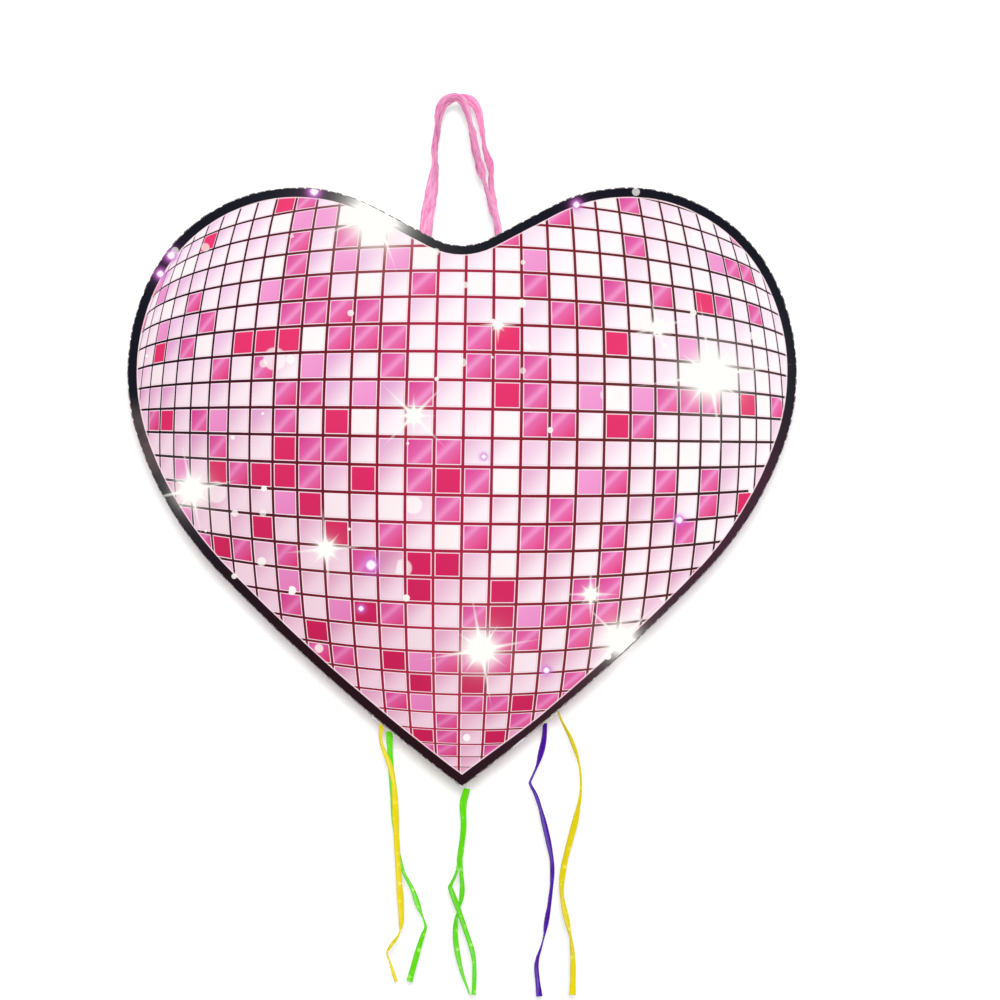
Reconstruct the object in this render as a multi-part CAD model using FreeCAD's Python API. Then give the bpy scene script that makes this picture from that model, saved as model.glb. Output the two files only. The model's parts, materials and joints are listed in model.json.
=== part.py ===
import FreeCAD, Part
import math
import os

from FreeCAD import Vector

# Pull-string pinata: a flat-faced heart box of corrugated card, hung on a doubled ribbon loop.
# Millimetres. +Z up, +X across the heart, the printed face looks along -Y.
# The origin is the hook point, under the crown of the hanging loop.

# ---- overall size -------------------------------------------------------------------------
notchZ = -87.4            # bottom of the notch between the lobes, below the hook
depth = 75.0              # front print to back print
cardThick = 3.0           # corrugated card of both panels
printThick = 0.4          # printed sheet glued on each panel
bandThick = 2.5           # card band that makes the side wall
wrapThick = 0.5           # crepe paper round the side wall

# ---- heart outline, right half, from the notch down to the tip ------------------------------
notchRadius = 36.7        # the notch is a hollow curve, its centre is above the card
notchSweep = 27.9
notchRise = 40.8          # straight climb from the notch to the lobe
lobeBends = [(98.0, 92.1), (127.0, 45.3), (214.0, 24.6)]    # radius and sweep in degrees
sideRadius = 1215.0       # the long, nearly straight lower side, it ends on the centre line

# ---- release door in the lower right wall ---------------------------------------------------
doorHingeX = 33.5         # where the door is creased
doorTipX = 0.6            # its free edge, beside the tip
doorGap = 0.5             # between the door and each panel
creaseGap = 0.3
ledgeThick = 2.5
ledgeReach = 6.0
ledgeSlack = 0.1          # between the closed door and its ledges
ledgeTopLap = 2.0         # the ledges start this far below the crease
ledgeTipLap = 6.0         # and stop this far before the door's free edge

# ---- fill hatch in the back panel -----------------------------------------------------------
hatchWidth = 90.0
hatchHeight = 70.0
hatchTopZ = -150.0
hatchGap = 0.6
hatchLedge = 1.5          # card strips inside, which the closed hatch rests on
hatchLedgeWidth = 14.0
hatchLedgeLap = 6.0
hatchLedgeDrop = 8.0      # the side ledges start this far below the hatch's crease
hatchSlack = 0.1          # between the closed hatch and its ledges

# ---- glue tabs --------------------------------------------------------------------------------
tabLength = 12.0
tabReach = 10.0
tabThick = 0.8
tabSpacing = 21.0
tabInset = 0.4            # clear of the curved band
tabLowestZ = -345.0

# ---- hanger -----------------------------------------------------------------------------------
hangerX = 22.0            # the two legs go through the notch wall here
strandY = 4.6             # the two strands of each leg lie one behind the other
hangerWidth = 8.0         # flat ribbon, 8 wide
hangerHole = 4.3          # radius of each hole
holeDrill = 60.0          # the holes are cut along this length,
holeStart = 30.0          # from this far below the notch
plateThick = 2.0
plateRun = 16.0
plateHalfY = 20.0
knotRadius = 5.5
knotHalfLength = 9.5
knotRound = 4.5
knotZ = -92.7

# ---- pull ribbons -------------------------------------------------------------------------------
pullWidth = 5.0           # curling ribbon, 5 wide
patchThick = 0.5          # paper patch that sticks a ribbon to the wall
patchHalfY = 4.5
patchHalfX = 4.5
patchLift = 0.05
pullPatchHalfY = 7.0
pullPatchX = (1.0, 9.0)

wallY = depth / 2 - printThick - cardThick      # inner faces of the panels
bandOuter = wrapThick
bandInner = wrapThick + bandThick

# Routes of the ribbons as (x, y, z), from the end that is fixed.
hangerFrontRoute = [
    (-22.0, -4.6, -91.0), (-22.3, -4.6, -73.0), (-18.6, -4.6, -55.0), (-16.2, -4.6, -39.0),
    (-17.2, -4.6, -24.0), (-14.0, -4.6, 4.0), (1.2, -4.6, 4.0), (6.8, -4.6, -20.0),
    (9.4, -4.6, -33.0), (13.4, -4.6, -46.0), (16.2, -4.6, -58.0), (22.2, -4.6, -73.0),
    (22.0, -4.6, -91.0),
]
hangerBackRoute = [
    (-22.0, 4.6, -91.0), (-22.1, 4.6, -73.0), (-19.4, 4.6, -55.0), (-17.2, 4.6, -40.0),
    (-16.6, 4.6, -25.0), (-11.5, 4.6, 4.0), (7.8, 4.6, 4.0), (12.2, 4.6, -16.0),
    (14.4, 4.6, -29.0), (18.0, 4.6, -39.0), (17.0, 4.6, -55.0), (22.1, 4.6, -73.0),
    (22.0, 4.6, -91.0),
]
yellowLeftRoute = [
    (-49.0, -6.0, -377.2), (-49.2, -6.0, -385.0), (-43.6, -6.0, -397.0), (-40.7, -6.5, -409.0),
    (-39.8, -7.0, -433.0), (-38.7, -7.0, -458.0), (-36.9, -6.0, -481.0), (-36.4, -5.0, -494.0),
    (-38.6, -4.5, -501.0), (-45.2, -5.0, -510.0), (-43.0, -6.0, -518.0), (-39.6, -6.5, -528.0),
]
greenLeftRoute = [
    (-43.8, 6.0, -381.8), (-43.2, 6.0, -396.0), (-41.8, 6.5, -415.0), (-40.4, 7.0, -438.0),
    (-37.0, 6.0, -460.0), (-30.0, 4.5, -472.0), (-27.0, 4.0, -481.0), (-22.0, 4.5, -495.0),
    (-26.6, 5.0, -509.0), (-31.8, 6.0, -528.0),
]
purpleRoute = [
    (49.7, 6.0, -376.8), (48.9, 6.0, -385.0), (45.2, 6.5, -398.0), (40.6, 7.0, -408.0),
    (44.6, 7.0, -416.0), (48.4, 6.5, -429.0), (52.2, 6.0, -445.0), (54.6, 6.0, -459.0),
    (53.2, 5.0, -476.0), (50.4, 4.5, -494.0), (48.0, 4.5, -506.0), (44.2, 5.0, -516.0),
    (45.2, 6.0, -527.0), (46.4, 6.5, -537.0),
]
yellowRightRoute = [
    (58.8, -6.0, -369.8), (61.6, -6.0, -375.0), (65.4, -6.0, -382.0), (70.4, -6.5, -396.0),
    (71.6, -7.0, -412.0), (69.0, -7.0, -428.0), (64.6, -6.5, -444.0), (61.0, -6.0, -458.0),
    (59.4, -5.0, -471.0), (60.2, -4.5, -480.0), (63.4, -4.5, -493.0), (65.9, -5.0, -506.0),
    (66.8, -6.0, -520.0), (66.2, -6.5, -536.0),
]
tipFrontRoute = [
    (2.4, -2.8, -413.3), (0.0, -2.8, -421.0), (1.2, -2.8, -434.0), (-0.8, -2.8, -450.0),
    (-2.8, -2.8, -461.0), (-7.4, -3.0, -471.0), (-3.2, -3.2, -482.0), (1.6, -3.4, -496.0),
    (6.8, -3.6, -511.0), (7.6, -3.4, -524.0), (6.8, -3.0, -536.0),
]
tipBackRoute = [
    (2.6, 2.8, -413.3), (0.4, 2.8, -421.0), (1.0, 2.8, -434.0), (-1.0, 2.8, -450.0),
    (-0.6, 2.8, -463.0), (0.4, 3.0, -476.0), (-3.8, 3.2, -489.0), (-4.4, 3.4, -502.0),
    (-1.8, 3.6, -517.0), (1.4, 3.4, -528.0), (4.6, 3.0, -536.0),
]


def point(x, z, y=0.0):
    return Vector(x, y, z)


# The outline as arcs (centre, radius, angles, side). side is +1 where the centre is outside
# the heart and -1 where it is inside, so an inset adds to the radius or takes from it.
def outlineArcs():
    arcs = []
    x, z, heading = 0.0, notchZ, 0.0
    turns = [(notchRadius, notchSweep, 1)] + [(radius, sweep, -1) for radius, sweep in lobeBends]
    for radius, sweep, side in turns:
        centreX = x - side * radius * math.sin(heading)
        centreZ = z + side * radius * math.cos(heading)
        start = heading - side * math.pi / 2
        end = start + side * math.radians(sweep)
        arcs.append((centreX, centreZ, radius, start, end, side))
        heading += side * math.radians(sweep)
        x = centreX + radius * math.cos(end)
        z = centreZ + radius * math.sin(end)
        if side == 1:
            x += notchRise * math.cos(heading)
            z += notchRise * math.sin(heading)
    centreX = x + sideRadius * math.sin(heading)
    centreZ = z - sideRadius * math.cos(heading)
    start = heading + math.pi / 2
    arcs.append((centreX, centreZ, sideRadius, start, None, -1))
    return arcs


arcs = outlineArcs()
sideCentreX, sideCentreZ = arcs[-1][0], arcs[-1][1]
# the side arc's angles, brought into the fourth quadrant
sideStart = math.remainder(arcs[-1][3], 2 * math.pi)


def arcPoint(arc, inset, angle, y=0.0):
    radius = arc[2] + arc[5] * inset
    return point(arc[0] + radius * math.cos(angle), arc[1] + radius * math.sin(angle), y)


# Angle on the lower side's arc at which it reaches a given x.
def sideAngle(x, inset=0.0):
    return -math.acos((x - sideCentreX) / (sideRadius - inset))


def sidePoint(angle, inset=0.0, y=0.0):
    radius = sideRadius - inset
    return point(sideCentreX + radius * math.cos(angle), sideCentreZ + radius * math.sin(angle), y)


def surfaceZ(x):
    return sidePoint(sideAngle(x)).z


def arcEdge(start, middle, end):
    return Part.Arc(start, middle, end).toShape()


def lineEdge(start, end):
    return Part.LineSegment(start, end).toShape()


# Edges of the right half at an inset, from the notch to lastAngle on the lower side.
def halfEdges(inset, lastAngle, y):
    edges = []
    previous = None
    for arc in arcs[:-1]:
        start, end = arc[3], arc[4]
        first = arcPoint(arc, inset, start, y)
        if previous is not None and (first - previous).Length > 1e-6:
            edges.append(lineEdge(previous, first))
        last = arcPoint(arc, inset, end, y)
        edges.append(arcEdge(first, arcPoint(arc, inset, (start + end) / 2, y), last))
        previous = last
    last = sidePoint(lastAngle, inset, y)
    middle = sidePoint((sideStart + lastAngle) / 2, inset, y)
    edges.append(arcEdge(previous, middle, last))
    return edges, last


def mirrored(shape):
    return shape.mirror(Vector(0, 0, 0), Vector(1, 0, 0))


def slab(edges, thick):
    wire = Part.Wire(Part.__sortEdges__(edges))
    return Part.Face(wire).extrude(Vector(0, thick, 0))


# Full heart plate from y to y + thick.
def heartPlate(inset, y, thick):
    right, tip = halfEdges(inset, sideAngle(0.0, inset), y)
    left = [mirrored(edge) for edge in right]
    return slab(right + left, thick)


# Strip that follows the right half's wall between two insets, from the notch down.
def wallStrip(outer, inner, lastOuter, lastInner):
    outerEdges, outerEnd = halfEdges(outer, lastOuter, -wallY)
    innerEdges, innerEnd = halfEdges(inner, lastInner, -wallY)
    ends = [
        lineEdge(outerEnd, innerEnd),
        lineEdge(arcPoint(arcs[0], outer, arcs[0][3], -wallY), arcPoint(arcs[0], inner, arcs[0][3], -wallY)),
    ]
    return slab(outerEdges + innerEdges + ends, 2 * wallY)


# Strip on the lower right side only; upper and lower are angles for (outer, inner).
def sideStrip(outer, inner, upper, lower, y, wide):
    edges = []
    for inset, first, last in ((outer, upper[0], lower[0]), (inner, upper[1], lower[1])):
        middle = sidePoint((first + last) / 2, inset, y)
        edges.append(arcEdge(sidePoint(first, inset, y), middle, sidePoint(last, inset, y)))
    edges.append(lineEdge(sidePoint(upper[0], outer, y), sidePoint(upper[1], inner, y)))
    edges.append(lineEdge(sidePoint(lower[0], outer, y), sidePoint(lower[1], inner, y)))
    return slab(edges, wide)


def box(x0, x1, y0, y1, z0, z1):
    return Part.makeBox(x1 - x0, y1 - y0, z1 - z0, Vector(x0, y0, z0))


# Tube along straight runs joined by tangent arcs; prints its arc radii and checks its volume.
def ribbonTube(name, route, width):
    corners = [Vector(*p) for p in route]
    edges, radii = [], []
    position = corners[0]
    for before, corner, after in zip(corners, corners[1:], corners[2:]):
        arriving = (corner - before).normalize()
        leaving = (after - corner).normalize()
        turn = arriving.getAngle(leaving)
        cut = 0.45 * min((corner - before).Length, (after - corner).Length)
        radius = cut / math.tan(turn / 2)
        start = corner - arriving * cut
        end = corner + leaving * cut
        towards = ((start + end) * 0.5 - corner).normalize()
        middle = corner + towards * (radius / math.cos(turn / 2) - radius)
        edges.append(lineEdge(position, start))
        edges.append(arcEdge(start, middle, end))
        radii.append(radius)
        position = end
    edges.append(lineEdge(position, corners[-1]))
    path = Part.Wire(edges)
    direction = corners[1] - corners[0]
    circle = Part.Circle(corners[0], direction, width / 2).toShape()
    tube = path.makePipeShell([Part.Wire([circle])], True, False)
    expected = math.pi * (width / 2) ** 2 * path.Length
    print(f"{name}: length {path.Length:.1f}, radii {min(radii):.1f} to {max(radii):.0f},"
          f" volume {tube.Volume / expected:.4f} of section x length")
    return tube


# ---- panels and printed sheets ------------------------------------------------------------------
frontY = -depth / 2
backY = depth / 2
hatchBottomZ = hatchTopZ - hatchHeight
hatchOpening = box(-hatchWidth / 2, hatchWidth / 2, 0, depth, hatchBottomZ, hatchTopZ)


def frontPanel():
    return heartPlate(0.0, frontY + printThick, cardThick)


def frontPrint():
    return heartPlate(0.0, frontY, printThick)


def backPanel():
    return heartPlate(0.0, wallY, cardThick).cut(hatchOpening)


def backPrint():
    return heartPlate(0.0, backY - printThick, printThick).cut(hatchOpening)


# ---- side wall ----------------------------------------------------------------------------------
hingeAngle = sideAngle(doorHingeX)
creaseAngle = creaseGap / sideRadius
bandEnd = hingeAngle + creaseAngle / 2
doorStart = hingeAngle - creaseAngle / 2


def hangerHoles():
    holes = []
    for x in (-hangerX, hangerX):
        for y in (-strandY, strandY):
            holes.append(Part.makeCylinder(hangerHole, holeDrill, Vector(x, y, notchZ - holeStart)))
    return Part.makeCompound(holes)


holes = hangerHoles()


def leftWall(outer, inner):
    strip = wallStrip(outer, inner, sideAngle(0.0, outer), sideAngle(0.0, inner))
    return mirrored(strip).cut(holes)


def rightWall(outer, inner):
    return wallStrip(outer, inner, bandEnd, bandEnd).cut(holes)


# Card plate under the notch; the ribbon knots bear on it.
def hangerPlate():
    outer, inner = bandInner, bandInner + plateThick
    edges = []
    ends = []
    for inset in (outer, inner):
        notch = arcs[0]
        side = arcPoint(notch, inset, notch[4], -plateHalfY)
        rise = point(math.cos(math.radians(notchSweep)), math.sin(math.radians(notchSweep)))
        tip = side + rise * plateRun
        bottom = arcPoint(notch, inset, notch[3], -plateHalfY)
        leftSide = Vector(-side.x, side.y, side.z)
        leftTip = Vector(-tip.x, tip.y, tip.z)
        edges += [arcEdge(leftSide, bottom, side), lineEdge(side, tip), lineEdge(leftSide, leftTip)]
        ends.append((leftTip, tip))
    edges += [lineEdge(ends[0][0], ends[1][0]), lineEdge(ends[0][1], ends[1][1])]
    return slab(edges, 2 * plateHalfY).cut(holes)


def hangerKnot(x):
    knot = Part.makeCylinder(knotRadius, 2 * knotHalfLength, Vector(x, -knotHalfLength, knotZ), Vector(0, 1, 0))
    rims = [edge for edge in knot.Edges if isinstance(edge.Curve, Part.Circle)]
    return knot.makeFillet(knotRound, rims)


# ---- glue tabs round the inside of each panel ---------------------------------------------------
def tabPlaces():
    places = []
    for arc in arcs[:-1]:
        length = arc[2] * abs(arc[4] - arc[3])
        count = max(1, round(length / tabSpacing))
        for i in range(count):
            angle = arc[3] + (arc[4] - arc[3]) * (i + 0.5) / count
            inward = Vector(math.cos(angle), 0, math.sin(angle)) * arc[5]
            places.append((arcPoint(arc, bandInner + tabInset, angle), inward))
    rise = math.radians(notchSweep)
    inward = Vector(math.sin(rise), 0, -math.cos(rise))
    start = arcPoint(arcs[0], bandInner + tabInset, arcs[0][4])
    for share in (0.3, 0.8):
        along = Vector(math.cos(rise), 0, math.sin(rise)) * (notchRise * share)
        places.append((start + along, inward))
    step = tabSpacing / sideRadius
    angle = sideStart - step / 2
    while sidePoint(angle).z > tabLowestZ:
        inward = Vector(-math.cos(angle), 0, -math.sin(angle))
        places.append((sidePoint(angle, bandInner + tabInset), inward))
        angle -= step
    return places


def glueTabs(y):
    tabs = []
    for place, inward in tabPlaces():
        tab = box(-tabLength / 2, tabLength / 2, y, y + tabThick, -tabReach, 0)
        turn = math.degrees(math.atan2(-inward.x, -inward.z))
        tab.rotate(Vector(0, 0, 0), Vector(0, 1, 0), turn)
        tab.translate(Vector(place.x, 0, place.z))
        tabs.append(tab)
        tabs.append(mirrored(tab))
    return Part.makeCompound(tabs)


# ---- release door -------------------------------------------------------------------------------
def doorStrip(outer, inner):
    lower = (sideAngle(doorTipX, outer), sideAngle(doorTipX, inner))
    halfY = wallY - doorGap
    return sideStrip(outer, inner, (doorStart, doorStart), lower, -halfY, 2 * halfY)


# Card strips on both panels that stop the door from falling inwards.
def doorLedges():
    outer = bandInner + ledgeSlack
    inner = outer + ledgeThick
    upper = sideAngle(doorHingeX - ledgeTopLap)
    lower = sideAngle(doorTipX + ledgeTipLap)
    ledges = []
    for y in (-wallY, wallY - ledgeReach):
        ledges.append(sideStrip(outer, inner, (upper, upper), (lower, lower), y, ledgeReach))
    return Part.makeCompound(ledges)


# ---- fill hatch ---------------------------------------------------------------------------------
def hatchSheet(y, thick):
    halfWidth = hatchWidth / 2 - hatchGap
    return box(-halfWidth, halfWidth, y, y + thick, hatchBottomZ + hatchGap, hatchTopZ - hatchGap)


def hatchLedges():
    x = hatchWidth / 2
    lap = hatchLedgeLap
    far = hatchLedgeWidth - lap
    y0, y1 = wallY - hatchLedge, wallY
    left = box(-x - far, -x + lap, y0, y1, hatchBottomZ + lap, hatchTopZ - hatchLedgeDrop)
    bottom = box(-x - far, x + far, y0, y1, hatchBottomZ - far, hatchBottomZ + lap)
    return Part.makeCompound([left, mirrored(left), bottom])


# ---- paper patches that hold the pull ribbons ---------------------------------------------------
def patch(x0, x1, y, halfY):
    outer = -patchLift - patchThick
    upper = sideAngle(x1)
    lower = sideAngle(x0)
    return sideStrip(outer, -patchLift, (upper, upper), (lower, lower), y - halfY, 2 * halfY)


def ribbonPatch(x, y):
    shape = patch(abs(x) - patchHalfX, abs(x) + patchHalfX, y, patchHalfY)
    return mirrored(shape) if x < 0 else shape


def pullPatch():
    return patch(pullPatchX[0], pullPatchX[1], 0.0, pullPatchHalfY)


nodes = {
    "front_panel": frontPanel(),
    "front_print": frontPrint(),
    "back_panel": backPanel(),
    "back_print": backPrint(),
    "side_band_left": leftWall(bandOuter, bandInner),
    "side_band_right": rightWall(bandOuter, bandInner),
    "side_wrap_left": leftWall(0.0, wrapThick),
    "side_wrap_right": rightWall(0.0, wrapThick),
    "hanger_plate": hangerPlate(),
    "hanger_knot_left": hangerKnot(-hangerX),
    "hanger_knot_right": hangerKnot(hangerX),
    "front_glue_tabs": glueTabs(-wallY),
    "back_glue_tabs": glueTabs(wallY - tabThick),
    "door_ledges": doorLedges(),
    "hatch_ledges": hatchLedges(),
    "release_door": doorStrip(bandOuter, bandInner),
    "door_wrap": doorStrip(0.0, wrapThick),
    "pull_patch": pullPatch(),
    "fill_hatch": hatchSheet(wallY + hatchSlack, cardThick - hatchSlack),
    "hatch_print": hatchSheet(backY - printThick, printThick),
    "yellow_left_patch": ribbonPatch(-49.0, -6.0),
    "green_left_patch": ribbonPatch(-43.8, 6.0),
    "purple_patch": ribbonPatch(49.7, 6.0),
    "yellow_right_patch": ribbonPatch(58.8, -6.0),
    "hanger_ribbon_front": ribbonTube("hanger_ribbon_front", hangerFrontRoute, hangerWidth),
    "hanger_ribbon_back": ribbonTube("hanger_ribbon_back", hangerBackRoute, hangerWidth),
    "yellow_left_ribbon": ribbonTube("yellow_left_ribbon", yellowLeftRoute, pullWidth),
    "green_left_ribbon": ribbonTube("green_left_ribbon", greenLeftRoute, pullWidth),
    "purple_ribbon": ribbonTube("purple_ribbon", purpleRoute, pullWidth),
    "yellow_right_ribbon": ribbonTube("yellow_right_ribbon", yellowRightRoute, pullWidth),
    "tip_ribbon_front": ribbonTube("tip_ribbon_front", tipFrontRoute, pullWidth),
    "tip_ribbon_back": ribbonTube("tip_ribbon_back", tipBackRoute, pullWidth),
}

os.makedirs("parts", exist_ok=True)
for name, shape in nodes.items():
    if not shape.isValid() or any(solid.Volume <= 0 for solid in shape.Solids):
        print("CHECK", name, shape.isValid(), [round(solid.Volume, 2) for solid in shape.Solids][:4])
    shape.exportStep(f"parts/{name}.step")

hinge = sidePoint(hingeAngle)
free = sidePoint(sideAngle(doorTipX))
hangs = 90.0 - math.degrees(math.atan2(hinge.z - free.z, hinge.x - free.x))
print(f"door hinge at x {hinge.x:.2f}, z {hinge.z:.2f}; it hangs straight down {hangs:.1f} degrees open")
print(f"tip z {sidePoint(sideAngle(0.0)).z:.2f}; wall z at 3, 44, 49, 50, 59:"
      f" {[round(surfaceZ(x), 1) for x in (3.0, 43.8, 49.0, 49.7, 58.8)]}")
print(len(nodes), "nodes,", sum(len(shape.Solids) for shape in nodes.values()), "solids")
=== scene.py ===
import json
import math
import random

import bmesh
import bpy
import numpy as np
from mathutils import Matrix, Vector
from mathutils.geometry import tessellate_polygon


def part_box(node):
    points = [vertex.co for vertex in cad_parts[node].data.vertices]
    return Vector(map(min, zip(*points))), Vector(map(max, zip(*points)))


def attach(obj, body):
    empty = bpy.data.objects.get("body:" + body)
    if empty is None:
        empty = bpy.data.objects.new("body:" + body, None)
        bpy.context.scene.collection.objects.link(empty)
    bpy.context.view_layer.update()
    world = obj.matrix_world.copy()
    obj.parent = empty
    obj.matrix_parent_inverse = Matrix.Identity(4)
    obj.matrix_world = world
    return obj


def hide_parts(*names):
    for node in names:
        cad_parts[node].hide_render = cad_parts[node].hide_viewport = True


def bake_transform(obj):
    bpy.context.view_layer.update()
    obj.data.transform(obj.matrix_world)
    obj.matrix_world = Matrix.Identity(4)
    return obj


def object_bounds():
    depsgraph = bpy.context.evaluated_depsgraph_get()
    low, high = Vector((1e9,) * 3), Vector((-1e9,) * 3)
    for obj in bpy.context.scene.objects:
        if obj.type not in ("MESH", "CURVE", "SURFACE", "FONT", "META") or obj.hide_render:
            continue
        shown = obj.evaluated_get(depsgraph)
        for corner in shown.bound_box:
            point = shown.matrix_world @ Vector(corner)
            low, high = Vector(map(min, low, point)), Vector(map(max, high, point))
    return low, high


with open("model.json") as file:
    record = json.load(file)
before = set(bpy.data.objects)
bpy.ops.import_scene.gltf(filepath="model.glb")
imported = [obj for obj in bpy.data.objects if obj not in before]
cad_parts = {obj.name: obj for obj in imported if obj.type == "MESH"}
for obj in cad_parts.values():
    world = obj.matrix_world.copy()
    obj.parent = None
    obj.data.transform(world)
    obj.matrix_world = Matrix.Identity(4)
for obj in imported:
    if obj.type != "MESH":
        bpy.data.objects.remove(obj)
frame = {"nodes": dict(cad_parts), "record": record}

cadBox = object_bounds()
scene = bpy.context.scene
scene.view_settings.view_transform = "Standard"


def say(stage):
    print("pinata:", stage)


# camera
view = {
    "distance": 8.0,
    "frameWidth": 0.5988,     # what the picture spans at the printed face
    "aimX": 0.0227,
    "aimZ": -0.2395,
    "lowBy": 1.6,             # degrees that the camera looks up from below
}
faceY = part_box("front_print")[0].y


def addCamera():
    data = bpy.data.cameras.new("camera")
    data.sensor_width = 36.0
    data.lens = data.sensor_width * view["distance"] / view["frameWidth"]
    data.clip_end = 60.0
    camera = bpy.data.objects.new("camera", data)
    low = math.radians(view["lowBy"])
    aim = Vector((view["aimX"], faceY, view["aimZ"]))
    away = Vector((0, -math.cos(low), -math.sin(low)))
    camera.location = aim + away * view["distance"]
    camera.rotation_euler = (-away).to_track_quat("-Z", "Y").to_euler()
    scene.collection.objects.link(camera)
    scene.camera = camera


addCamera()
say("camera")


# node helpers
def srgb(r, g, b):
    def one(c):
        c /= 255
        return c / 12.92 if c <= 0.04045 else ((c + 0.055) / 1.055) ** 2.4
    return (one(r), one(g), one(b), 1.0)


def feed(socket, value):
    if isinstance(value, bpy.types.NodeSocket):
        socket.id_data.links.new(value, socket)
    elif value is not None:
        socket.default_value = value


# a new node in the tree that the sockets among these values belong to
def nodeBeside(kind, *values):
    tree = next(value.id_data for value in values if isinstance(value, bpy.types.NodeSocket))
    return tree.nodes.new(kind)


def calc(operation, a, b=None, c=None, clamp=False):
    node = nodeBeside("ShaderNodeMath", a, b, c)
    node.operation = operation
    node.use_clamp = clamp
    for socket, value in zip(node.inputs, (a, b, c)):
        feed(socket, value)
    return node.outputs[0]


def plus(a, b, clamp=False):
    return calc("ADD", a, b, clamp=clamp)


def minus(a, b, clamp=False):
    return calc("SUBTRACT", a, b, clamp=clamp)


def times(a, b):
    return calc("MULTIPLY", a, b)


def over(a, b):
    return calc("DIVIDE", a, b)


def mixed(factor, a, b, blend="MIX"):
    node = nodeBeside("ShaderNodeMix", factor, a, b)
    node.data_type = "RGBA"
    node.blend_type = blend
    feed(node.inputs["Factor"], factor)
    feed(node.inputs[6], a)
    feed(node.inputs[7], b)
    return node.outputs[2]


def between(value, low, high, outLow=0.0, outHigh=1.0):
    node = nodeBeside("ShaderNodeMapRange", value)
    node.interpolation_type = "SMOOTHSTEP"
    for socket, given in zip(node.inputs, (value, low, high, outLow, outHigh)):
        feed(socket, given)
    return node.outputs[0]


def ramp(factor, stops):
    node = nodeBeside("ShaderNodeValToRGB", factor)
    while len(node.color_ramp.elements) < len(stops):
        node.color_ramp.elements.new(0.5)
    for element, (place, colour) in zip(node.color_ramp.elements, stops):
        element.position = place
        element.color = colour
    feed(node.inputs[0], factor)
    return node.outputs[0]


def noise(vector, scale, detail=2.0, roughness=0.5, distortion=0.0):
    node = nodeBeside("ShaderNodeTexNoise", vector)
    feed(node.inputs["Vector"], vector)
    for name, value in (("Scale", scale), ("Detail", detail), ("Roughness", roughness),
                        ("Distortion", distortion)):
        node.inputs[name].default_value = value
    return node.outputs[0]


def stretched(vector, scale):
    node = nodeBeside("ShaderNodeMapping", vector)
    feed(node.inputs["Vector"], vector)
    node.inputs["Scale"].default_value = scale
    return node.outputs[0]


def objectCoords(tree):
    return tree.nodes.new("ShaderNodeTexCoord").outputs["Object"]


def bump(height, strength, distance):
    node = nodeBeside("ShaderNodeBump", height)
    node.inputs["Strength"].default_value = strength
    node.inputs["Distance"].default_value = distance
    feed(node.inputs["Height"], height)
    return node.outputs[0]


def newMaterial(name, roughness=0.6, specular=0.3, sheen=0.0):
    material = bpy.data.materials.new(name)
    material.use_nodes = True
    tree = material.node_tree
    shader = tree.nodes["Principled BSDF"]
    shader.inputs["Roughness"].default_value = roughness
    shader.inputs["Specular IOR Level"].default_value = specular
    shader.inputs["Sheen Weight"].default_value = sheen
    return material, tree, shader


def newGroup(name, inputs, outputs):
    tree = bpy.data.node_groups.new(name, "ShaderNodeTree")
    for title, kind, value in inputs:
        socket = tree.interface.new_socket(name=title, in_out="INPUT", socket_type="NodeSocket" + kind)
        if value is not None:
            socket.default_value = value
    for title, kind in outputs:
        tree.interface.new_socket(name=title, in_out="OUTPUT", socket_type="NodeSocket" + kind)
    return tree, tree.nodes.new("NodeGroupInput").outputs, tree.nodes.new("NodeGroupOutput").inputs


def placeGroup(tree, group, **values):
    node = tree.nodes.new("ShaderNodeGroup")
    node.node_tree = group
    for name, value in values.items():
        feed(node.inputs[name], value)
    return node.outputs


# shared effects
# fibres and flecks of paper and board: a fine mask and a height for the bump
def paperFibreGroup():
    tree, given, out = newGroup(
        "paperFibre",
        [("Vector", "Vector", None), ("Fineness", "Float", 900.0), ("Flecks", "Float", 0.3)],
        [("Mask", "Float"), ("Height", "Float")])
    scaled = tree.nodes.new("ShaderNodeVectorMath")
    scaled.operation = "SCALE"
    tree.links.new(given["Vector"], scaled.inputs[0])
    tree.links.new(given["Fineness"], scaled.inputs["Scale"])
    long = noise(stretched(scaled.outputs[0], (1.0, 1.0, 0.25)), 1.0, 3.0, 0.6, 0.4)
    fine = noise(scaled.outputs[0], 2.7, 2.0)
    fleck = between(noise(scaled.outputs[0], 0.45, 4.0, 0.7), 0.62, 0.72)
    mask = plus(times(long, 0.7), times(fine, 0.3))
    tree.links.new(minus(mask, times(fleck, given["Flecks"])), out["Mask"])
    tree.links.new(plus(long, fine), out["Height"])
    return tree


# crinkles of crepe paper: uneven ridges that run along Along, which is in metres
def crinkleGroup():
    tree, given, out = newGroup(
        "crepeCrinkle",
        [("Across", "Float", 0.0), ("Along", "Float", 0.0), ("Pitch", "Float", 0.0011)],
        [("Mask", "Float"), ("Height", "Float")])
    place = tree.nodes.new("ShaderNodeCombineXYZ")
    tree.links.new(over(given["Across"], given["Pitch"]), place.inputs[0])
    tree.links.new(times(over(given["Along"], given["Pitch"]), 0.07), place.inputs[1])
    ridges = noise(place.outputs[0], 1.0, 3.0, 0.55, 0.6)
    broad = noise(place.outputs[0], 0.23, 2.0, 0.5)
    height = plus(times(ridges, 0.7), times(broad, 0.5))
    tree.links.new(between(ridges, 0.32, 0.68), out["Mask"])
    tree.links.new(height, out["Height"])
    return tree


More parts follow.
